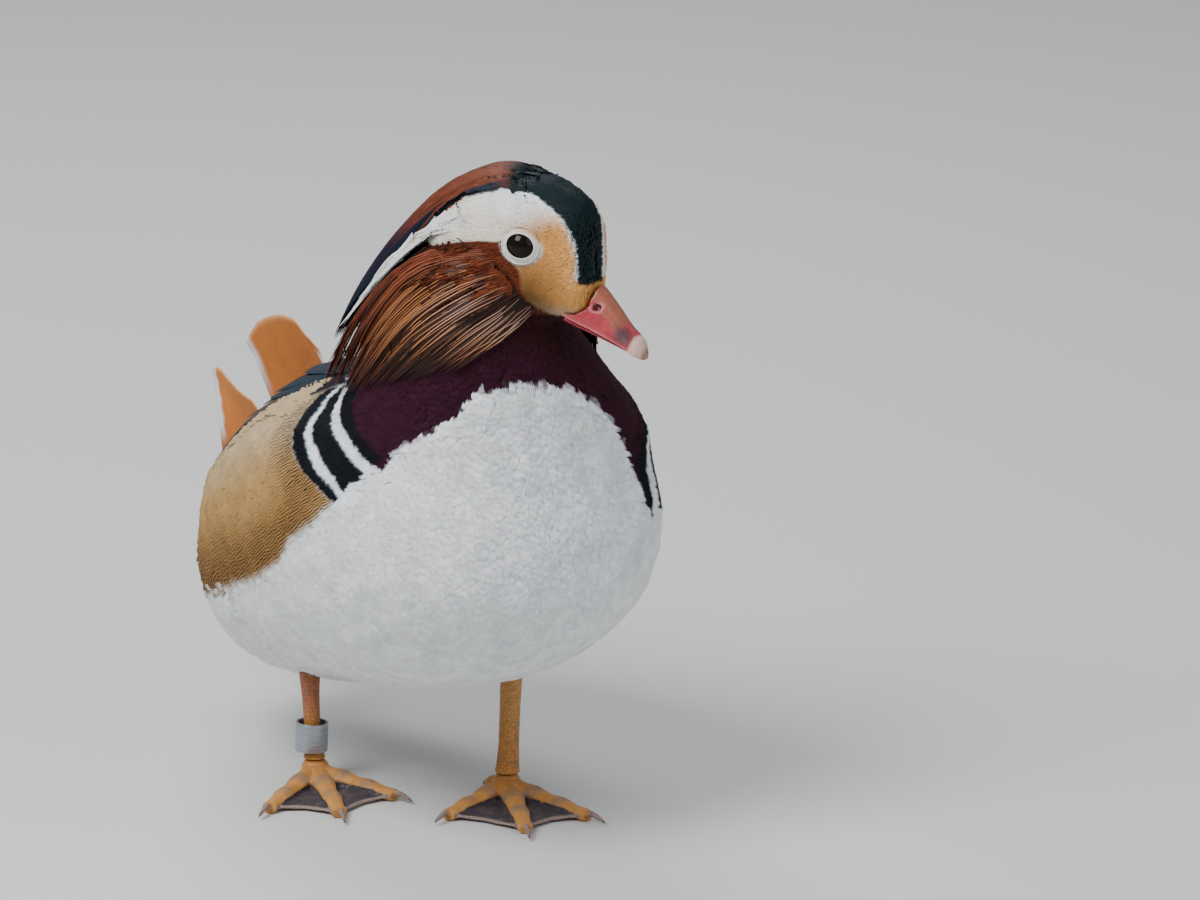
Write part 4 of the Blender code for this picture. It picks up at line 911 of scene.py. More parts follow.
# From the face to the streak's end, as (half width, distance back, height) in the head's frame
STREAK_LINE = ((17.6, 14, 1.5), (17.0, 22, -4.5), (16.3, 30, -11), (14.6, 39, -24), (12, 48.5, -44), (9.5, 56.5, -59))


def bent_lines(points, t):
    """Places at t on the Bezier curves that (curves, steering points, 3) describe."""
    points = [points[:, k][:, None] for k in range(points.shape[1])]
    t = t[..., None]
    while len(points) > 1:
        points = [a * (1 - t) + b * t for a, b in zip(points, points[1:])]
    return points[0]


def placed(frame_matrix, millimetres):
    turn, middle = np.array(frame_matrix.to_3x3()), np.array(frame_matrix.translation)
    return np.asarray(millimetres, float) * MM @ turn.T + middle


def kept_outside(ground, points, least):
    """Moves points that lie closer to a surface than least, or inside it, out to that height."""
    near, out, _ = ground.nearest(points)
    high = dot(points - near, out)
    return np.where(high < least, near + out * least, points)


random = np.random.default_rng(33)
both = np.where(np.arange(STREAK_LOCKS) % 2, 1.0, -1.0)
start = 0.62 * random.random(STREAK_LOCKS) ** 1.6 - 0.02
reach = np.clip(start + random.uniform(0.25, 0.5, STREAK_LOCKS), 0, 1)
share = np.clip(start[:, None] + (reach - start)[:, None] * np.linspace(0, 1, stations), 0, 1)
offset = random.uniform(-1, 1, STREAK_LOCKS)[:, None] * (3.2 - 2.8 * share**0.6)
turns = np.linspace(0, 1, len(STREAK_LINE))
line = np.stack([np.interp(share, turns, [k[axis] for k in STREAK_LINE]) for axis in range(3)], -1)
line += offset[..., None] * np.array((0, 0.75, 0.45)) + random.uniform(0, 0.6, STREAK_LOCKS)[:, None, None] * np.array((1, 0, 0))
line[..., 0] *= both[:, None]
for _ in range(2):
    line[:, 1:-1] = (line[:, :-2] + 2 * line[:, 1:-1] + line[:, 2:]) / 4
flat_line = placed(HEAD, line.reshape(-1, 3))
flat_line = kept_outside(crest_ground, flat_line, 0.7 * MM)
sunk = np.tile(0.2 + np.clip(3 * np.linspace(0, 1, stations), 0, 1), STREAK_LOCKS)[:, None]
flat_line = kept_outside(skin_ground, flat_line, sunk * MM)
lines = flat_line.reshape(line.shape)
for _ in range(4):
    lines[:, 1:-1] = (lines[:, :-2] + 2 * lines[:, 1:-1] + lines[:, 2:]) / 4
outward = unit(np.stack([both, 0.35 + 0 * both, 0.15 + 0 * both], -1)) @ np.array(HEAD.to_3x3()).T
normals = np.broadcast_to(outward[:, None], lines.shape)
# The streak's white, tinted a little cream, is painted 8% darker as shade so that it matches the shaded white of the
# face.
shaded_streak_colour = 0.92 * painted(np.tile(PLUMES["white"], (STREAK_LOCKS, 1)), "cream", np.full(STREAK_LOCKS, 0.3))
streak = long_locks(
    "white_streaks", lines, normals, random.uniform(0.5, 0.9, STREAK_LOCKS) * MM, shaded_streak_colour, crest_ground,
    fine=np.zeros(STREAK_LOCKS), camber=0.1, rounding=0.15, width_of=lambda t: (1 - t**2) ** 0.7,
)
streak.data.materials.append(soft_plumage)
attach(streak, "root")

# The cheek ruffs: long narrow hackles that fan from the cheek, rust with a pale shaft each.
RUFF_RAILS = {
    "right": (
        ((-18.5, 4, -4), (-32, -54, 210), (-42, -36, 178), (-48, -26, 153)),
        ((-19, -6, -10), (-27, -76, 198), (-38, -60, 174), (-41, -50, 155)),
        ((-14, -17, -22), (-8, -90, 182), (-17, -87, 177), (-24, -78, 168)),
    ),
    "left": (
        ((18.5, 4, -4), (24, -42, 204), (31, -28, 180), (34, -20, 157)),
        ((19, -6, -10), (32, -55, 198), (44, -46, 174), (47, -40, 154)),
        ((14, -15, -22), (26, -67, 188), (29, -64, 182), (31, -61, 174)),
    ),
}
HACKLES = 640
SHAFTS = 50
PALE_SHAFT = (0.34, 0.13, 0.036)
GOLD_SHAFT = (0.60, 0.25, 0.07)
SILVER_SHAFT = (0.52, 0.38, 0.29)


def hackle_finish():
    material, shader = new_finish("hackle_plumage", 0.5, 0.0, 0.25)
    links = material.node_tree.links
    plume = linked(material, "ShaderNodeVertexColor", layer_name="plumage")
    vane = linked(material, "ShaderNodeUVMap", uv_map="vane")
    split = linked(material, "ShaderNodeSeparateXYZ")
    links.new(vane.outputs["UV"], split.inputs["Vector"])
    off_shaft = worked(material, "ABSOLUTE", worked(material, "SUBTRACT", split.outputs["X"], 0.5))
    shaft = worked(material, "MULTIPLY_ADD", off_shaft, -11.0, 1.3, clamp=True)
    shaft = worked(material, "MULTIPLY", shaft, plume.outputs["Alpha"])
    edge = worked(material, "MULTIPLY_ADD", off_shaft, 5.0, -1.3, clamp=True)
    colour = mixed_colour(material, edge, plume.outputs["Color"], (0.014, 0.004, 0.003))
    colour = mixed_colour(material, shaft, colour, PALE_SHAFT)
    links.new(colour, shader.inputs["Base Color"])
    bump = linked(material, "ShaderNodeBump")
    bump.inputs["Strength"].default_value = 0.4
    bump.inputs["Distance"].default_value = 0.15 * MM
    barb = worked(material, "SINE", worked(material, "MULTIPLY_ADD", split.outputs["Y"], 160.0, worked(material, "MULTIPLY", off_shaft, -40.0)))
    links.new(worked(material, "MULTIPLY_ADD", barb, 0.2, shaft), bump.inputs["Height"])
    links.new(bump.outputs["Normal"], shader.inputs["Normal"])
    return material


def fan_lines(rails, share, begin, end, layer, core_ground):
    """Lines that fan out along a ruff's rails and lie on its core, their normals, and shares along and across."""
    keys = np.array([np.concatenate([placed(HEAD, [root]), placed(STANCE, rest)]) for root, *rest in rails])
    first = np.clip(share * 2, 0, 1)[:, None, None]
    second = np.clip(share * 2 - 1, 0, 1)[:, None, None]
    steering = keys[0] * (1 - first) + keys[1] * (first - second) + keys[2] * second
    t = np.linspace(0, 1, stations)
    at = begin[:, None] + (end - begin)[:, None] * t
    lines = bent_lines(steering, np.clip(at, 0, 1.06))
    points = lines.reshape(-1, 3)
    near, out, _ = skin_ground.nearest(points)
    high = dot(points - near, out).reshape(at.shape)
    over_core = np.zeros(len(near))
    for i, (place, way) in enumerate(zip(near.tolist(), out.tolist())):
        from_above = Vector(place) + Vector(way) * 25 * MM
        hit, _, _, fall = core_ground.tree.ray_cast(from_above, -Vector(way), 25 * MM)
        if hit is not None:
            over_core[i] = 25 * MM - fall
    over_core = over_core.reshape(at.shape)
    level = np.where(over_core > 0, over_core, np.maximum(high - 2 * MM, 1.2 * MM))
    for _ in range(3):
        level[:, 1:-1] = (level[:, :-2] + 2 * level[:, 1:-1] + level[:, 2:]) / 4
    level = np.maximum(level, over_core) + layer[:, None] + 0.8 * MM * t
    level = level - 1.8 * MM * np.clip(1 - 14 * t, 0, 1)
    lines = (near + out * level.reshape(-1, 1)).reshape(lines.shape)
    run = unit(np.diff(lines, axis=1))
    gentle = (run[:, 1:] * run[:, :-1]).sum(-1).min(1) > 0.55
    for _ in range(2):
        lines[:, 1:-1] = (lines[:, :-2] + 2 * lines[:, 1:-1] + lines[:, 2:]) / 4
    root_colours, _ = markings(lines[:, 1], 0)
    kept = gentle & (root_colours.min(1) < 0.3)
    return lines[kept], out.reshape(lines.shape)[kept], at[kept], share[kept]


hackle_plumage = hackle_finish()
shaft_plumage, shader = new_finish("shaft_plumage", 0.4, 0.0, 0.35)
shaft_paint = linked(shaft_plumage, "ShaderNodeVertexColor", layer_name="plumage")
shaft_plumage.node_tree.links.new(shaft_paint.outputs["Color"], shader.inputs["Base Color"])
for seed, (side, rails) in enumerate(RUFF_RAILS.items()):
    core = fused(copied("ruff_core_" + side, "ruff_" + side), 0.0, 0.8 * MM, 3, 0.4 * MM)
    unwrapped(core)
    core_ground = Ground(core)
    fore = step(-58, -64, in_frame(STANCE, core_ground.points)[:, 1]) * (side == "left")
    off_cheek = np.linalg.norm(in_frame(HEAD, core_ground.points) - np.array(rails[1][0]), axis=1)
    colours = np.array(PLUMES["rust"]) * (0.75 - 0.5 * step(8, 24, off_cheek))[:, None]
    colour_attribute(core.data, painted(colours, "maroon", fore))
    mesh_of(core.name, velvet, "rust_plumage", core, "ruff_" + side)

    random = np.random.default_rng(41 + seed)
    last = 1.03 if side == "right" else 0.8
    share = np.sort((last + 0.03) * random.random(HACKLES) ** 1.3 - 0.03)
    begin, end = 0.35 * random.random(HACKLES) ** 2, random.uniform(0.7, 1.04, HACKLES)
    layer = random.uniform(0.2, 1.1, HACKLES) * MM
    lines, normals, at, share = fan_lines(rails, share, begin, end, layer, core_ground)
    hackle_lines, run = lines, unit(np.gradient(lines, axis=1))
    deep = random.uniform(0.25, 1.3, len(lines))[:, None] * (1.05 - 0.85 * step(0.15, 0.85, share[:, None] + 0.25 * at))
    rust = np.array(PLUMES["rust"]) * deep[..., None]
    wide = random.uniform(0.45, 0.8, len(lines)) * (1.6 - 0.6 * step(0.02, 0.25, share)) * MM
    hackles = long_locks(
        "ruff_hackles_" + side, lines, normals, wide, rust, core_ground,
        columns=3, camber=0.5, fine=0.25 * random.random(len(lines)) ** 2,
    )
    hackles.data.materials.append(hackle_plumage)
    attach(hackles, "root")

    # Pale shafts stand out over the dark hackles, golden behind and silvery, short and wavy in front.
    share = np.linspace(0, last, SHAFTS) + random.normal(0, 0.006, SHAFTS)
    begin = random.uniform(0, 0.16, SHAFTS)
    end = random.uniform(0.72, 1.05, SHAFTS) - 0.25 * step(0.5, 0.9, share) * random.random(SHAFTS)
    layer = random.uniform(1.2, 1.7, SHAFTS) * MM
    lines, normals, at, share = fan_lines(rails, share, begin, end, layer, core_ground)
    wave = np.sin(at * 75 + random.uniform(0, 6, len(lines))[:, None]) * step(0.4, 0.75, share)[:, None]
    lines = lines + np.cross(normals, unit(np.gradient(lines, axis=1))) * (wave * 0.35 * MM)[..., None]
    silver = (step(0.35, 0.8, share)[:, None] * step(0.75, 0.25, at)).reshape(-1)
    pale = laid(np.tile(GOLD_SHAFT, (silver.size, 1)), SILVER_SHAFT, silver)
    faint = step(0.05, 0.35, share)[:, None] * np.sin(np.pi * np.clip(at, 0.2, 1)) * random.uniform(0.4, 1, len(lines))[:, None]
    pale = laid(np.tile(np.array(PLUMES["rust"]) * 1.3, (silver.size, 1)), pale, faint.reshape(-1))
    shafts = long_locks(
        "ruff_shafts_" + side, lines, normals, random.uniform(0.13, 0.21, len(lines)) * MM,
        pale.reshape(*at.shape, 3), core_ground, columns=2, camber=0.0,
    )
    shafts.data.materials.append(shaft_plumage)
    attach(shafts, "root")

    # Short hackles cover the rest of the ruff, each along the nearest long one.
    line_tree = KDTree(hackle_lines.size // 3)
    for i, point in enumerate(hackle_lines.reshape(-1, 3).tolist()):
        line_tree.insert(point, i)
    line_tree.balance()
    line_ways = run.reshape(-1, 3)

    def along_hackles(points, normals):
        way = np.array([line_ways[line_tree.find(p)[1]] for p in points.tolist()])
        return unit(way - normals * dot(way, normals))

    roots, out, flat = core_ground.spread(0.75 * MM, lambda points, normals: markings(points, 0)[0].min(1) < 0.3, 43 + seed)
    off_cheek = np.linalg.norm(in_frame(HEAD, roots) - np.array(rails[1][0]), axis=1)
    darker = 1.0 - 0.75 * step(12, 30, off_cheek)
    tint = np.array(PLUMES["rust"]) * (darker * random.uniform(0.3, 1.2, len(roots)))[:, None]
    short = laid_feathers(
        "ruff_coat_" + side, core_ground, roots, out, flat, SLEEK, 4.2 * MM, 0.34 * MM, (0.05 * MM, 0.45 * MM), tint,
        way_of=along_hackles, stray=0.04, seed=43 + seed, root_shade_tip_light=(0.85, 1.1), rounding=0.25,
    )
    short.data.materials.append(velvet)
    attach(short, "root")

# The eyes: dark glossy balls, set deep behind lids with a thin dark rim and a ring of white velvet.
EYE_RADIUS = 5.6 * MM
LID_OPENING = (4.45, 3.85)  # half width and half height of the open eye, in mm
# Rings of the lid from its rim outward, as (mm beyond the opening, mm out from the ball's middle)
LID_ROWS = ((0.0, 3.35), (0.05, 3.65), (0.22, 3.8), (0.55, 3.65), (1.0, 3.15), (1.5, 2.65), (2.0, 2.1), (2.5, 1.2))
LID_STEPS = 64
cornea, shader = new_finish("dark_eye", 0.06, 0.0, 0.16)
shader.inputs["Base Color"].default_value = (0.006, 0.004, 0.003, 1)
lid_skin, shader = new_finish("lid_skin", 0.55, 0.0, 0.4)
lid_paint = linked(lid_skin, "ShaderNodeVertexColor", layer_name="plumage")
lid_skin.node_tree.links.new(lid_paint.outputs["Color"], shader.inputs["Base Color"])
for side_name, side in (("left", 1), ("right", -1)):
    eye_place = HEAD @ (Vector((14.6 * side, -7.8, 0.3)) * MM)
    outward = (HEAD.to_3x3() @ Vector((side, -0.28, 0.12))).normalized()
    bpy.ops.mesh.primitive_uv_sphere_add(segments=64, ring_count=40, radius=EYE_RADIUS, location=(0, 0, 0))
    ball = bpy.context.object
    ball.name = "eyeball_" + side_name
    ball.data.transform(Matrix.Translation(eye_place) @ outward.to_track_quat("Z", "Y").to_matrix().to_4x4())
    ball.data.shade_smooth()
    mesh_of(ball.name, cornea, "dark_eye", ball, "eye_" + side_name)

    # The lid is a ring of rows laid over the ball, then blended into the skin of the face.
    level = (HEAD.to_3x3() @ Vector((0, 1, 0))).normalized()
    level = (level - outward * level.dot(outward)).normalized()
    rise = outward.cross(level) * side
    places = []
    for beyond, height in LID_ROWS:
        for k in range(LID_STEPS):
            angle = 2 * math.pi * k / LID_STEPS
            a, b = (opening + beyond for opening in LID_OPENING)
            sideways, upward = a * math.cos(angle), b * math.sin(angle)
            out = height + 0.5 * (LID_OPENING[0] - np.hypot(sideways, upward) + beyond)
            places.append(eye_place + (level * sideways + rise * upward + outward * out) * MM)
    faces = []
    for i in range(len(LID_ROWS) - 1):
        for k in range(LID_STEPS):
            m = (k + 1) % LID_STEPS
            row = i * LID_STEPS
            faces.append((row + k, row + m, row + LID_STEPS + m, row + LID_STEPS + k)[:: side])
    mesh = bpy.data.meshes.new("eyelid_" + side_name)
    mesh.from_pydata([tuple(p) for p in places], [], faces)
    lid = bpy.data.objects.new(mesh.name, mesh)
    bpy.context.scene.collection.objects.link(lid)
    mesh.shade_smooth()
    rows = np.repeat(np.arange(len(LID_ROWS)), LID_STEPS)
    rim = (rows < 2)[:, None]
    around_eye, _ = markings(np.array([tuple(p) for p in places]), 0)
    colour_attribute(mesh, np.where(rim, (0.012, 0.010, 0.010), around_eye * 0.85))
    mesh.materials.append(lid_skin)
    unwrapped(lid)
    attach(lid, "root")

    # Velvet on the lid runs back round the eye.
    lid_ground = Ground(lid)

    def beyond_rim(points, normals):
        from_eye = (points - np.array(eye_place)) / MM
        out = np.hypot(from_eye @ np.array(level) / (LID_OPENING[0] + 0.45), from_eye @ np.array(rise) / (LID_OPENING[1] + 0.45))
        return out > 1

    def round_the_eye(points, normals):
        away = points - np.array(eye_place)
        back = np.array(HEAD.to_3x3() @ Vector((0, 1, -0.1)))
        way = unit(away) * 0.55 + back * 0.65
        return unit(way - normals * dot(way, normals))

    roots, normals, flat = lid_ground.spread(0.42 * MM, beyond_rim, 61)
    lid_coat = laid_feathers(
        "eyelid_velvet_" + side_name, lid_ground, roots, normals, flat, TUFT, 1.05 * MM, 0.3 * MM,
        (0.0 * MM, 0.3 * MM), None, way_of=round_the_eye, stray=0.15, seed=61,
        root_shade_tip_light=(0.9, 1.02), by_point=True, rounding=0.15,
    )
    lid_coat.data.materials.append(velvet)
    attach(lid_coat, "root")

# The bill: two halves of horn under a thin pinkish-red skin, with open nostrils and a pale nail.
HORN_GRID = 0.4 * MM


def bill_colours(points, upper):
    head = in_frame(HEAD, points)
    x, forward, z = np.abs(head[:, 0]), -head[:, 1], head[:, 2]
    rag = cloud(points, 3 * MM, 7.0)
    culmen = edge_at(((19, -5.5), (28, -6.4), (33, -8.9), (39.4, -13.3), (45, -17.8), (49.5, -20), (53.6, -24)), forward)
    mouth = edge_at(((19, -19.4), (28, -21.2), (39.4, -22.8), (49.5, -24.8), (53.6, -26.6)), forward)
    colour = np.tile((0.36, 0.028, 0.042) if upper else (0.28, 0.025, 0.038), (len(points), 1))
    colour = laid(colour, (0.46, 0.07, 0.08), step(-0.4, 0.8, rag) * 0.5)
    if upper:
        down = culmen - z
        ridge = step(5.5, 1.5, down + 1.5 * rag) * step(24, 30, forward) * step(47, 42, forward)
        colour = laid(colour, (0.30, 0.105, 0.055), ridge * 0.85)
        at_nostril = np.hypot((forward - 34.4) * 0.88 + (z + 14.4) * 0.47, ((z + 14.4) * 0.88 - (forward - 34.4) * 0.47) * 1.5)
        colour = laid(colour, (0.55, 0.18, 0.18), step(2.8, 2.2, at_nostril) * 0.8)
        # Painted shade: the opening of the nostril is painted dark red-black.
        colour = laid(colour, (0.10, 0.01, 0.015), step(1.9, 1.4, at_nostril))
        smudge = step(4.2, 1.0, np.hypot(forward - 45.5, z + 20.5)) + 0.6 * step(3, 0, np.abs(down - 2.5)) * step(40, 44, forward)
        colour = laid(colour, (0.085, 0.03, 0.04), smudge * 0.7 * (x > 1.5))
        colour = laid(colour, (0.62, 0.18, 0.17), step(1.1, 0.5, z - mouth) * 0.6)
    colour = laid(colour, (0.16, 0.012, 0.018), step(24.5, 22.5, forward + 0.5 * rag))
    nail = step(48.4, 49.4, forward + 0.4 * rag)
    colour = laid(colour, (0.62, 0.42, 0.35), nail)
    colour = laid(colour, (0.20, 0.09, 0.05), step(51.8, 53.4, forward) * 0.8)
    return colour


def horn_finish(name, roughness, grain, depth):
    """Bare skin over horn: painted colour, small pores and creases."""
    material, shader = new_finish(name, roughness, 0.0, 0.5)
    links = material.node_tree.links
    plume = linked(material, "ShaderNodeVertexColor", layer_name="plumage")
    place = linked(material, "ShaderNodeTexCoord")
    mottle = linked(material, "ShaderNodeTexNoise")
    mottle.inputs["Scale"].default_value = grain
    mottle.inputs["Detail"].default_value = 6
    links.new(place.outputs["Object"], mottle.inputs["Vector"])
    shade = worked(material, "MULTIPLY_ADD", mottle.outputs["Fac"], 0.45, 0.78)
    tint = linked(material, "ShaderNodeCombineColor")
    for channel in tint.inputs:
        links.new(shade, channel)
    colour = mixed_colour(material, 1.0, plume.outputs["Color"], tint.outputs["Color"], "MULTIPLY")
    links.new(colour, shader.inputs["Base Color"])
    links.new(worked(material, "MULTIPLY_ADD", mottle.outputs["Fac"], 0.3, roughness - 0.15), shader.inputs["Roughness"])
    bump = linked(material, "ShaderNodeBump")
    bump.inputs["Strength"].default_value = 0.5
    bump.inputs["Distance"].default_value = depth
    links.new(mottle.outputs["Fac"], bump.inputs["Height"])
    links.new(bump.outputs["Normal"], shader.inputs["Normal"])
    return material


bill_finish = horn_finish("red_bill", 0.38, 900, 0.12 * MM)
bill_finish.node_tree.nodes["Principled BSDF"].inputs["Subsurface Weight"].default_value = 0.08
bill_finish.node_tree.nodes["Principled BSDF"].inputs["Subsurface Scale"].default_value = 0.001
for node, upper in (("bill_upper", True), ("bill_lower", False)):
    half_bill = fused(copied(node + "_horn", node), 0.0, HORN_GRID, 3, 0.0)
    colour_attribute(half_bill.data, bill_colours(points_of(half_bill), upper))
    mesh_of(half_bill.name, bill_finish, "red_bill", half_bill, node)

# The folded wings: dark glossy shoulder feathers over olive coverts, a blue-green bar tipped with
# white, and long dark flight feathers with silver edges. The golden flank laps over their lower edge.
# Each row of vanes runs from the lowest to the highest, as (root, bend, tip) of both in the trunk's
# frame for the left wing, then the count, half width, and heights off the skin at root and tip.
WING_ROWS = (
    ("primaries", ((40, 60, 35), (34, 90, 32), (19, 121, 29)), ((17, 58, 46), (15, 92, 45), (8, 126, 42)), 9, 3.6, (1.5, 5.0), (2.0, 6.5)),
    ("secondaries", ((42, 30, 43), (41, 62, 34), (35, 94, 29)), ((18, 34, 54), (17, 66, 50), (13, 98, 48)), 8, 4.8, (1.6, 4.0), (2.2, 5.4)),
    ("great_coverts", ((40, 12, 48), (42, 36, 42), (44, 58, 34)), ((18, 12, 58), (18, 38, 56), (16, 66, 52)), 8, 4.6, (1.6, 3.2), (2.4, 4.6)),
    ("small_coverts", ((36, -4, 51), (39, 14, 50), (42, 32, 43)), ((18, -8, 58), (19, 14, 59), (18, 36, 57)), 8, 4.2, (1.4, 3.0), (2.6, 5.0)),
    ("outer_scapulars", ((34, -32, 46), (34, -4, 52), (30, 30, 50)), ((12, -24, 58), (12, 8, 62), (12, 50, 60)), 7, 4.8, (1.4, 4.5), (3.2, 8.0)),
    ("inner_scapulars", ((28, -42, 47), (28, -16, 54), (24, 12, 56)), ((5, -32, 57), (6, -4, 62), (6, 30, 62)), 7, 4.8, (1.0, 6.0), (3.0, 8.5)),
)
WING_COLOURS = {
    "primaries": (0.030, 0.028, 0.026),
    "secondaries": (0.035, 0.034, 0.028),
    "great_coverts": (0.058, 0.049, 0.034),
    "small_coverts": (0.050, 0.044, 0.033),
    "outer_scapulars": (0.006, 0.013, 0.023),
    "inner_scapulars": (0.005, 0.012, 0.026),
}
SILVER_EDGE = (0.42, 0.44, 0.45)
SPECULUM = (0.010, 0.075, 0.105)
VANE_STATIONS = 16
VANE_COLUMNS = 9


def vane_width(t):
    return (0.5 + 0.5 * np.sin(np.pi * np.minimum(1, 1.9 * t) / 2)) * (1 - t**5) ** 0.6


def vane_colours(row, vanes):
    """Colour along and across each vane of a wing row."""
    t = np.linspace(0, 1, VANE_STATIONS)[None, :, None]
    s = np.linspace(-1, 1, VANE_COLUMNS)[None, None]
    grid = np.broadcast_to(t, (vanes, VANE_STATIONS, VANE_COLUMNS)).ravel()
    wide = np.broadcast_to(s, (vanes, VANE_STATIONS, VANE_COLUMNS)).ravel()
    colour = np.tile(WING_COLOURS[row], (grid.size, 1))
    if row == "primaries":
        colour = laid(colour, SILVER_EDGE, step(0.55, 0.8, wide) * step(0.25, 0.5, grid))
    if row == "secondaries":
        colour = laid(colour, SPECULUM, step(0.45, 0.6, grid) * step(0.95, 0.88, grid) * step(-0.7, -0.2, wide))
        colour = laid(colour, PLUMES["white"], step(0.93, 0.95, grid))
    if "coverts" in row:
        colour = laid(colour, (0.12, 0.10, 0.07), step(0.75, 1, np.abs(wide)) * 0.5 + step(0.93, 1, grid) * 0.4)
    if "scapulars" in row:
        colour = laid(colour, (0.004, 0.030, 0.042), step(0.3, 0.9, np.abs(wide)) * 0.5)
    return colour.reshape(vanes, VANE_STATIONS, VANE_COLUMNS, 3)


vane_plumage = plumage_finish("vane_plumage", 0.45, 0.0, 0.3, waves=(420, 90), shaft=0.5, gloss_tint=(0.7, 0.85, 1.0))
for side_name, side in (("left", 1), ("right", -1)):
    for row, first, last, many, half_width, lifts_low, lifts_high in WING_ROWS:
        random = np.random.default_rng(80 + len(row))
        share = np.linspace(0, 1, many) + random.uniform(-0.02, 0.02, many)
        steer = np.array(first)[None] * (1 - share)[:, None, None] + np.array(last)[None] * share[:, None, None]
        steer = steer * np.array((side, 1, 1))
        steer = placed(BODY, steer.reshape(-1, 3)).reshape(many, 3, 3)
        t = np.linspace(0, 1, VANE_STATIONS)
        lines = bent_lines(steer, np.broadcast_to(t, (many, VANE_STATIONS)))
        near, out, _ = skin_ground.nearest(lines.reshape(-1, 3))
        root_lift = lifts_low[0] + (lifts_high[0] - lifts_low[0]) * share
        tip_lift = lifts_low[1] + (lifts_high[1] - lifts_low[1]) * share
        lift = root_lift[:, None] * (1 - t) + tip_lift[:, None] * t + 0.35 * (np.arange(many) % 2)[:, None]
        lift = lift - 3 * np.clip(1 - 5 * t, 0, 1)
        lines = (near + out * lift.reshape(-1, 1) * MM).reshape(lines.shape)
        lines = np.concatenate([lines[:, :1], (lines[:, :-2] + lines[:, 1:-1] * 2 + lines[:, 2:]) / 4, lines[:, -1:]], 1)
        tone = random.uniform(0.85, 1.15, many)[:, None, None, None]
        vanes = long_locks(
            row + "_" + side_name, lines, out.reshape(lines.shape), np.full(many, half_width) * MM,
            vane_colours(row, many)[:, :, :: side] * tone, skin_ground, width_of=vane_width,
            columns=VANE_COLUMNS, camber=0.18,
        )
        nodes = ("wing_" + side_name,) if row == "primaries" else ()
        mesh_of(vanes.name, vane_plumage, "wing_plumage", vanes, *nodes)

# Golden flank feathers lap over the wings' lower edge.


def at_flank_top(points, normals):
    body = in_frame(BODY, points)
    below = edge_at(FLANK_TOP, body[:, 1]) - body[:, 2]
    return (np.abs(below - 3.8) < 3.8) & (body[:, 1] > -30) & (body[:, 1] < 84) & (np.abs(body[:, 0]) > 20)


roots, normals, flat = skin_ground.spread(1.15 * MM, at_flank_top, 71)
tan, _ = markings(placed(BODY, in_frame(BODY, roots) - (0, 0, 7)), 0)
sandy = tan.max(1) > 0.2
roots, normals, flat, tan = roots[sandy], normals[sandy], flat[sandy], tan[sandy]
lap = laid_feathers(
    "flank_lap", skin_ground, roots, normals, flat, SLEEK, 9.0 * MM, 2.0 * MM, (-0.2 * MM, 2.1 * MM), tan,
    np.zeros(len(roots)), stray=0.07, seed=71, root_shade_tip_light=(0.85, 1.06), rounding=0.2,
)
lap.data.materials.append(soft_plumage)
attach(lap, "root")

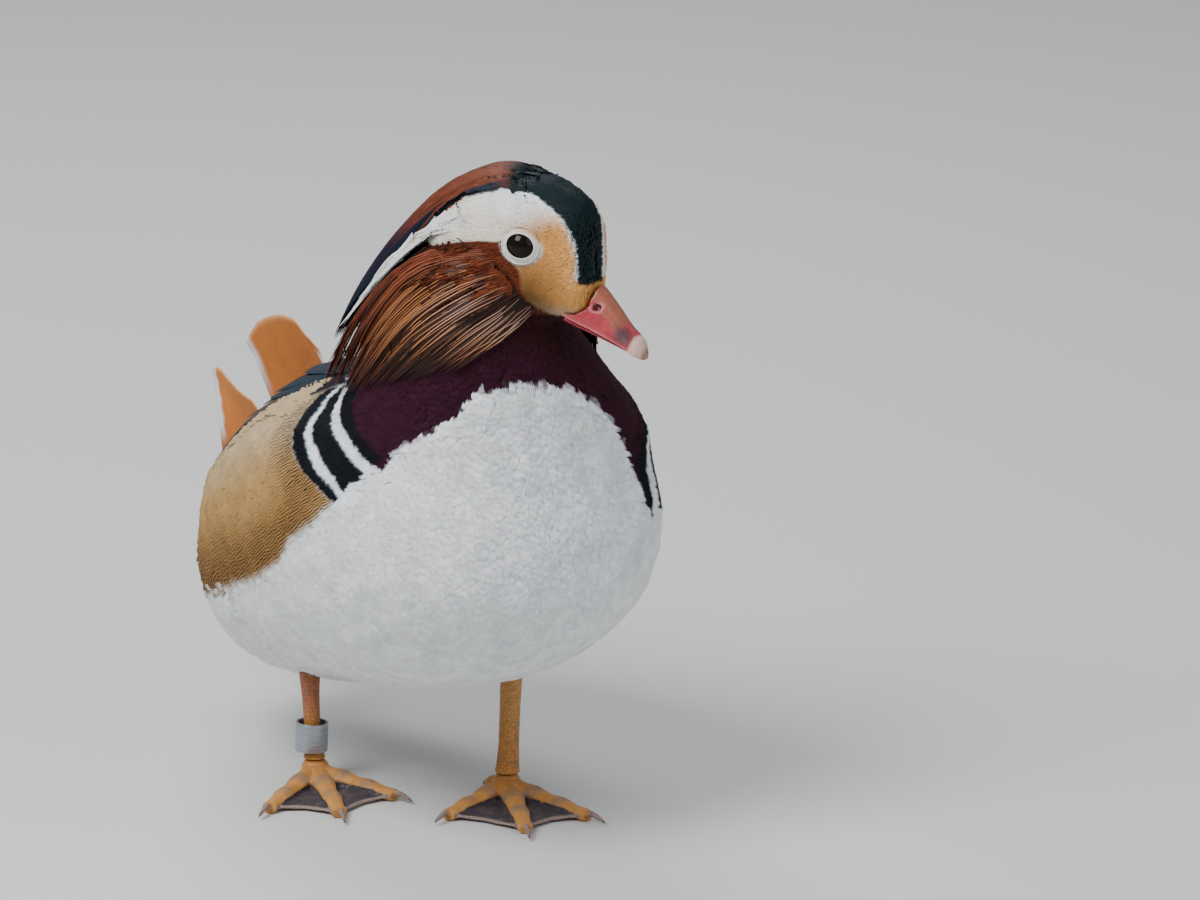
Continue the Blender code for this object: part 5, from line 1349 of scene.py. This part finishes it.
# The sails: each a single inner wing feather whose web stands up like a fin, orange with a pale rim.
SAILS = {
    "sail_right": ((-22, 70, 104), (-20, 112, 86), (-25, 112, 130), (-24, 73, 121), -3.0),
    "sail_left": ((12, 68, 106), (8, 116, 88), (-7, 123, 134), (1, 90, 142), 5.0),
}
SAIL_ORANGE = (0.52, 0.175, 0.040)
SAIL_STEPS = 40
sail_plumage = plumage_finish("sail_plumage", 0.65, 0.0, 0.25, waves=(6, 0), shaft=0.0, cross=260)
for name, (front_base, rear_base, rear_top, front_top, rise) in SAILS.items():
    bpy.ops.mesh.primitive_grid_add(x_subdivisions=SAIL_STEPS, y_subdivisions=SAIL_STEPS, size=2, location=(0, 0, 0))
    sail = bpy.context.object
    sail.name = name + "_web"
    grid = points_of(sail)
    u, v = (grid[:, 0] + 1) / 2, (grid[:, 1] + 1) / 2
    corners = [np.array(c, float) for c in (front_base, rear_base, rear_top, front_top)]
    base = corners[0] * (1 - u)[:, None] + corners[1] * u[:, None]
    top = corners[3] * (1 - u)[:, None] + corners[2] * u[:, None]
    place = base * (1 - v)[:, None] + top * v[:, None]
    place[:, 2] += rise * np.sin(np.pi * u) * v
    place[:, 2] -= 3.5 * np.clip(v - 0.8, 0, 1) * 5 * np.clip(np.abs(2 * u - 1) - 0.6, 0, 1) * 2.5
    place[:, 0] += 3 * np.sin(np.pi * v) * np.sin(np.pi * u) + 0.06 * np.sin(u * 60) * v
    place[:, 2] += 0.05 * np.sin(u * 50 + 3 * np.sin(u * 23)) * step(0.9, 1, v)
    sail.data.vertices.foreach_set("co", placed(STANCE, place).astype(np.float32).ravel())
    mesh = sail.data
    flat = np.column_stack([u, v])
    corner_points = np.empty(len(mesh.loops), np.int32)
    mesh.loops.foreach_get("vertex_index", corner_points)
    while mesh.uv_layers:
        mesh.uv_layers.remove(mesh.uv_layers[0])
    layer = mesh.uv_layers.new(name="vane")
    layer.data.foreach_set("uv", flat[corner_points].astype(np.float32).ravel())
    colours = np.tile(SAIL_ORANGE, (len(u), 1))
    colours = laid(colours, (0.34, 0.095, 0.022), step(0.5, 0.1, v) * 0.6 + 0.35 * np.sin(np.pi * u) * step(0.9, 0.3, v))
    colours = laid(colours, (0.66, 0.36, 0.18), step(0.955, 0.995, v) * 0.8)
    pale_side = step(0.915, 0.945, u + 0.006 * np.sin(v * 40)) * step(0.25, 0.45, v)
    if name == "sail_left":
        pale_side = step(0.94, 0.965, u) * step(0.4, 0.8, v) + step(0.07, 0.05, u) * step(0.45, 0.55, v) * step(0.8, 0.7, v)
    colours = laid(colours, (0.72, 0.70, 0.68), pale_side)
    colour_attribute(mesh, colours)
    wall = sail.modifiers.new("wall", "SOLIDIFY")
    wall.thickness = 0.5 * MM
    wall.offset = 0
    select_only(sail)
    bpy.ops.object.modifier_apply(modifier="wall")
    mesh.shade_smooth()
    mesh_of(sail.name, sail_plumage, "orange_sail", sail, name)

# The tail: a short cushion of coverts that carries twelve stiff dark feathers, closed into a low fan.
TAIL_FEATHERS = 12
TAIL_STEER = ((3, 92, 12), (13, 120, 20), (21, 144, 26))
tail = fused(copied("tail_core", "tail"), 0.0, 0.9 * MM, 4, 0.4 * MM)
unwrapped(tail)
tail_ground = Ground(tail)
tail_brown = np.array((0.055, 0.043, 0.032))
colour_attribute(tail.data, np.tile(tail_brown * 0.8, (len(tail_ground.points), 1)))
mesh_of("tail_core", soft_plumage, "tail_plumage", tail, "tail")
share = np.linspace(-1, 1, TAIL_FEATHERS)
steer = []
for value in share:
    middle = 1 - abs(value)
    points = []
    for x, back, up in TAIL_STEER:
        reach = back + 5 * middle * (back - 92) / 60
        points.append((x * value + 7 * (back - 92) / 52, reach, up + 3 * middle + 0.9))
    steer.append(points)
steer = placed(BODY, np.array(steer).reshape(-1, 3)).reshape(TAIL_FEATHERS, 3, 3)
t = np.linspace(0, 1, VANE_STATIONS)
lines = bent_lines(steer, np.broadcast_to(t, (TAIL_FEATHERS, VANE_STATIONS)))
up = np.stack([0.35 * share, 0 * share, 1 + 0 * share], -1) @ np.array(BODY.to_3x3()).T
normals = np.broadcast_to(unit(up)[:, None], lines.shape)
grid = np.tile(np.repeat(t, VANE_COLUMNS), TAIL_FEATHERS)
wide = np.tile(np.linspace(-1, 1, VANE_COLUMNS), TAIL_FEATHERS * VANE_STATIONS)
colours = laid(np.tile(tail_brown, (grid.size, 1)), (0.02, 0.035, 0.036), step(0.5, 1, np.abs(wide)) * 0.6)
colours = laid(colours, (0.16, 0.13, 0.10), step(0.95, 1, grid) * 0.6)
fan = long_locks(
    "tail_feathers", lines, normals, np.full(TAIL_FEATHERS, 6.0) * MM,
    colours.reshape(TAIL_FEATHERS, VANE_STATIONS, VANE_COLUMNS, 3), tail_ground, width_of=vane_width,
    columns=VANE_COLUMNS, camber=0.12,
)
fan.data.materials.append(vane_plumage)
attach(fan, "root")


def near_tail_root(points, normals):
    return in_frame(BODY, points)[:, 1] < 128


roots, normals, flat = tail_ground.spread(2.2 * MM, near_tail_root, 91)
coverts = laid_feathers(
    "tail_coverts", tail_ground, roots, normals, flat, SLEEK, 9 * MM, 2.2 * MM, (-0.2 * MM, 1.4 * MM),
    np.tile(tail_brown, (len(roots), 1)), np.zeros(len(roots)), stray=0.12, seed=91,
)
coverts.data.materials.append(soft_plumage)
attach(coverts, "root")

# The legs: bare orange skin with small round scales, painted darker and redder towards the body as shade under the
# belly, the right leg darker than the left.
SKIN_ORANGE = (0.56, 0.235, 0.045)


def scale_finish():
    """Scaly leg skin: painted colour, round net scales, and cross scutes along each toe."""
    material = horn_finish("orange_leg", 0.5, 500, 0.1 * MM)
    links = material.node_tree.links
    shader = material.node_tree.nodes["Principled BSDF"]
    place = linked(material, "ShaderNodeTexCoord")
    net = linked(material, "ShaderNodeTexVoronoi", feature="DISTANCE_TO_EDGE")
    net.inputs["Scale"].default_value = 850
    links.new(place.outputs["Object"], net.inputs["Vector"])
    net_lines = worked(material, "MULTIPLY", net.outputs["Distance"], 5.0, clamp=True)
    scute = linked(material, "ShaderNodeAttribute", attribute_name="scute")
    wave = worked(material, "SINE", worked(material, "MULTIPLY", scute.outputs["Fac"], 2 * math.pi))
    cross = worked(material, "MULTIPLY_ADD", wave, 1.6, 1.9, clamp=True)
    is_toe = worked(material, "GREATER_THAN", scute.outputs["Fac"], 0.01)
    height = linked(material, "ShaderNodeMix", data_type="FLOAT")
    links.new(is_toe, height.inputs[0])
    links.new(net_lines, height.inputs[2])
    links.new(cross, height.inputs[3])
    dark = worked(material, "MULTIPLY_ADD", height.outputs[0], 0.42, 0.58)
    tint = linked(material, "ShaderNodeCombineColor")
    for channel in tint.inputs:
        links.new(dark, channel)
    painted_skin = shader.inputs["Base Color"].links[0].from_socket
    colour = mixed_colour(material, 1.0, painted_skin, tint.outputs["Color"], "MULTIPLY")
    links.new(colour, shader.inputs["Base Color"])
    bump = linked(material, "ShaderNodeBump")
    bump.inputs["Strength"].default_value = 0.6
    bump.inputs["Distance"].default_value = 0.25 * MM
    links.new(height.outputs[0], bump.inputs["Height"])
    fine_bump = shader.inputs["Normal"].links[0].from_socket
    links.new(fine_bump, bump.inputs["Normal"])
    links.new(bump.outputs["Normal"], shader.inputs["Normal"])
    return material


leg_finish = scale_finish()


def scute_attribute(mesh, values):
    layer = mesh.attributes.new("scute", "FLOAT", "POINT")
    layer.data.foreach_set("value", np.asarray(values, np.float32))


# Painted shade: each leg's upper part and its top next to the feathers are darker, the right leg's more than the
# left's.
for name, tint, top in (("leg_right", (0.42, 0.14, 0.05), (0.19, 0.065, 0.04)), ("leg_left", (0.55, 0.26, 0.06), (0.30, 0.12, 0.06))):
    leg = fused(copied(name + "_skin", name), 0.0, 0.5 * MM, 3, 0.0)
    place = in_frame(STANCE, points_of(leg))
    rag = cloud(points_of(leg), 5 * MM, 3.0)
    colours = laid(np.tile(tint, (len(place), 1)), SKIN_ORANGE, step(30, 16, place[:, 2] + 4 * rag))
    colours = laid(colours, top, step(36, 54, place[:, 2] + 5 * rag))
    colours = laid(colours, (0.16, 0.11, 0.07), step(0.25, 0.7, rag) * 0.5)
    colour_attribute(leg.data, colours)
    scute_attribute(leg.data, np.zeros(len(place)))
    mesh_of(leg.name, leg_finish, "orange_leg", leg, name)

# The feet: three long toes with dark webs between them, a small raised hind toe, and blunt claws.
FEET = {
    "foot_right": ((-28, 24), ((-49, 43), (-14, 47), (25, 39)), 158),
    "foot_left": ((23, -20), ((17, 44), (-18, 48), (-62, 38)), -168),
}
for name, (joint, toes, hallux) in FEET.items():
    foot = fused(copied(name + "_skin", name), 0.0, 0.45 * MM, 3, 0.0)
    points = points_of(foot)
    place = in_frame(STANCE, points)
    rag = cloud(points, 3 * MM, 4.0)
    away = place[:, :2] - np.array(joint)
    best = np.full(len(place), 1e9)
    along = np.zeros(len(place))
    share = np.zeros(len(place))
    for angle, length in (*toes, (hallux, 11)):
        turn = math.radians(angle)
        way = np.array((math.sin(turn), -math.cos(turn)))
        run = np.clip(away @ way, 0, length * 1.1)
        gap = np.linalg.norm(away - run[:, None] * way, axis=1)
        closer = gap < best
        best = np.where(closer, gap, best)
        along = np.where(closer, run, along)
        share = np.where(closer, run / length, share)
    on_toe = (best < 3.9 - 1.6 * share) | (place[:, 2] > 3.4)
    colours = np.tile(SKIN_ORANGE, (len(place), 1))
    colours = laid(colours, (0.60, 0.30, 0.07), step(-0.3, 0.6, rag) * 0.5)
    joints = np.maximum(step(0.10, 0.03, np.abs(share - 0.33)), step(0.10, 0.03, np.abs(share - 0.62)))
    top_side = step(2.5, 4.5, place[:, 2])
    colours = laid(colours, (0.17, 0.14, 0.12), joints * top_side * (0.5 + 0.5 * rag) * (along > 6))
    colours = laid(colours, (0.24, 0.10, 0.05), step(5.2, 7.5, place[:, 2]) * 0.35)
    # The web's pale rim follows its hollow front edge.
    bearing = np.degrees(np.arctan2(away[:, 0], -away[:, 1]))
    span = np.hypot(away[:, 0], away[:, 1])
    ordered = sorted(toes)
    reach = np.interp(bearing, [a for a, _ in ordered], [length for _, length in ordered]) * 0.88
    between = np.interp(bearing, [a for a, _ in ordered], [0, 1, 2]) % 1
    reach = reach * (1 - 0.16 * np.sin(np.pi * between))
    web = laid(np.tile((0.050, 0.042, 0.052), (len(place), 1)), (0.12, 0.085, 0.08), step(-0.2, 0.7, rag))
    web = laid(web, (0.33, 0.24, 0.20), step(0.955, 0.985, span / reach))
    colours = np.where(on_toe[:, None], colours, web)
    claw = step(0.90, 0.95, share) * (best < 3)
    colours = laid(colours, (0.30, 0.21, 0.18), claw)
    colours = laid(colours, (0.10, 0.07, 0.06), step(1.04, 1.1, share) * claw)
    colour_attribute(foot.data, colours)
    scute_attribute(foot.data, np.where(on_toe & (share < 0.9), along / 1.05 + 0.5, 0))
    mesh_of(foot.name, leg_finish, "orange_leg", foot, name)

# The ring: a plain closed band of grey metal round the right leg, a little worn.
RING_OUTSIDE = 5.6 * MM
RING_INSIDE = 4.85 * MM
RING_HEIGHT = 10 * MM
ring_place = middle_of("leg_ring")
bpy.ops.mesh.primitive_cylinder_add(vertices=96, radius=RING_OUTSIDE, depth=RING_HEIGHT, end_fill_type="NOTHING", location=(0, 0, 0))
band = bpy.context.object
band.name = "leg_band"
wall = band.modifiers.new("wall", "SOLIDIFY")
wall.thickness = RING_OUTSIDE - RING_INSIDE
wall.offset = -1
edges = band.modifiers.new("edges", "BEVEL")
edges.width = 0.18 * MM
edges.segments = 3
edges.angle_limit = math.radians(40)
for modifier in list(band.modifiers):
    bpy.ops.object.modifier_apply(modifier=modifier.name)
band.data.transform(Matrix.Translation(ring_place) @ Matrix.Rotation(math.radians(3), 4, "Y"))
bpy.ops.object.shade_smooth_by_angle(angle=math.radians(35))
band_metal, shader = new_finish("ring_metal", 0.38, 0.0, 0.5)
links = band_metal.node_tree.links
shader.inputs["Metallic"].default_value = 0.9
place = linked(band_metal, "ShaderNodeTexCoord")
scratches = linked(band_metal, "ShaderNodeTexNoise")
scratches.inputs["Scale"].default_value = 600
scratches.inputs["Detail"].default_value = 8
stretched = linked(band_metal, "ShaderNodeMapping")
stretched.inputs["Scale"].default_value = (0.3, 0.3, 3)
links.new(place.outputs["Object"], stretched.inputs["Vector"])
links.new(stretched.outputs["Vector"], scratches.inputs["Vector"])
metal = mixed_colour(band_metal, scratches.outputs["Fac"], (0.20, 0.22, 0.25), (0.52, 0.55, 0.60))
links.new(metal, shader.inputs["Base Color"])
links.new(worked(band_metal, "MULTIPLY_ADD", scratches.outputs["Fac"], 0.35, 0.22), shader.inputs["Roughness"])
bump = linked(band_metal, "ShaderNodeBump")
bump.inputs["Strength"].default_value = 0.3
bump.inputs["Distance"].default_value = 0.1 * MM
links.new(scratches.outputs["Fac"], bump.inputs["Height"])
links.new(bump.outputs["Normal"], shader.inputs["Normal"])
mesh_of("leg_band", band_metal, "leg_ring", band, "leg_ring")
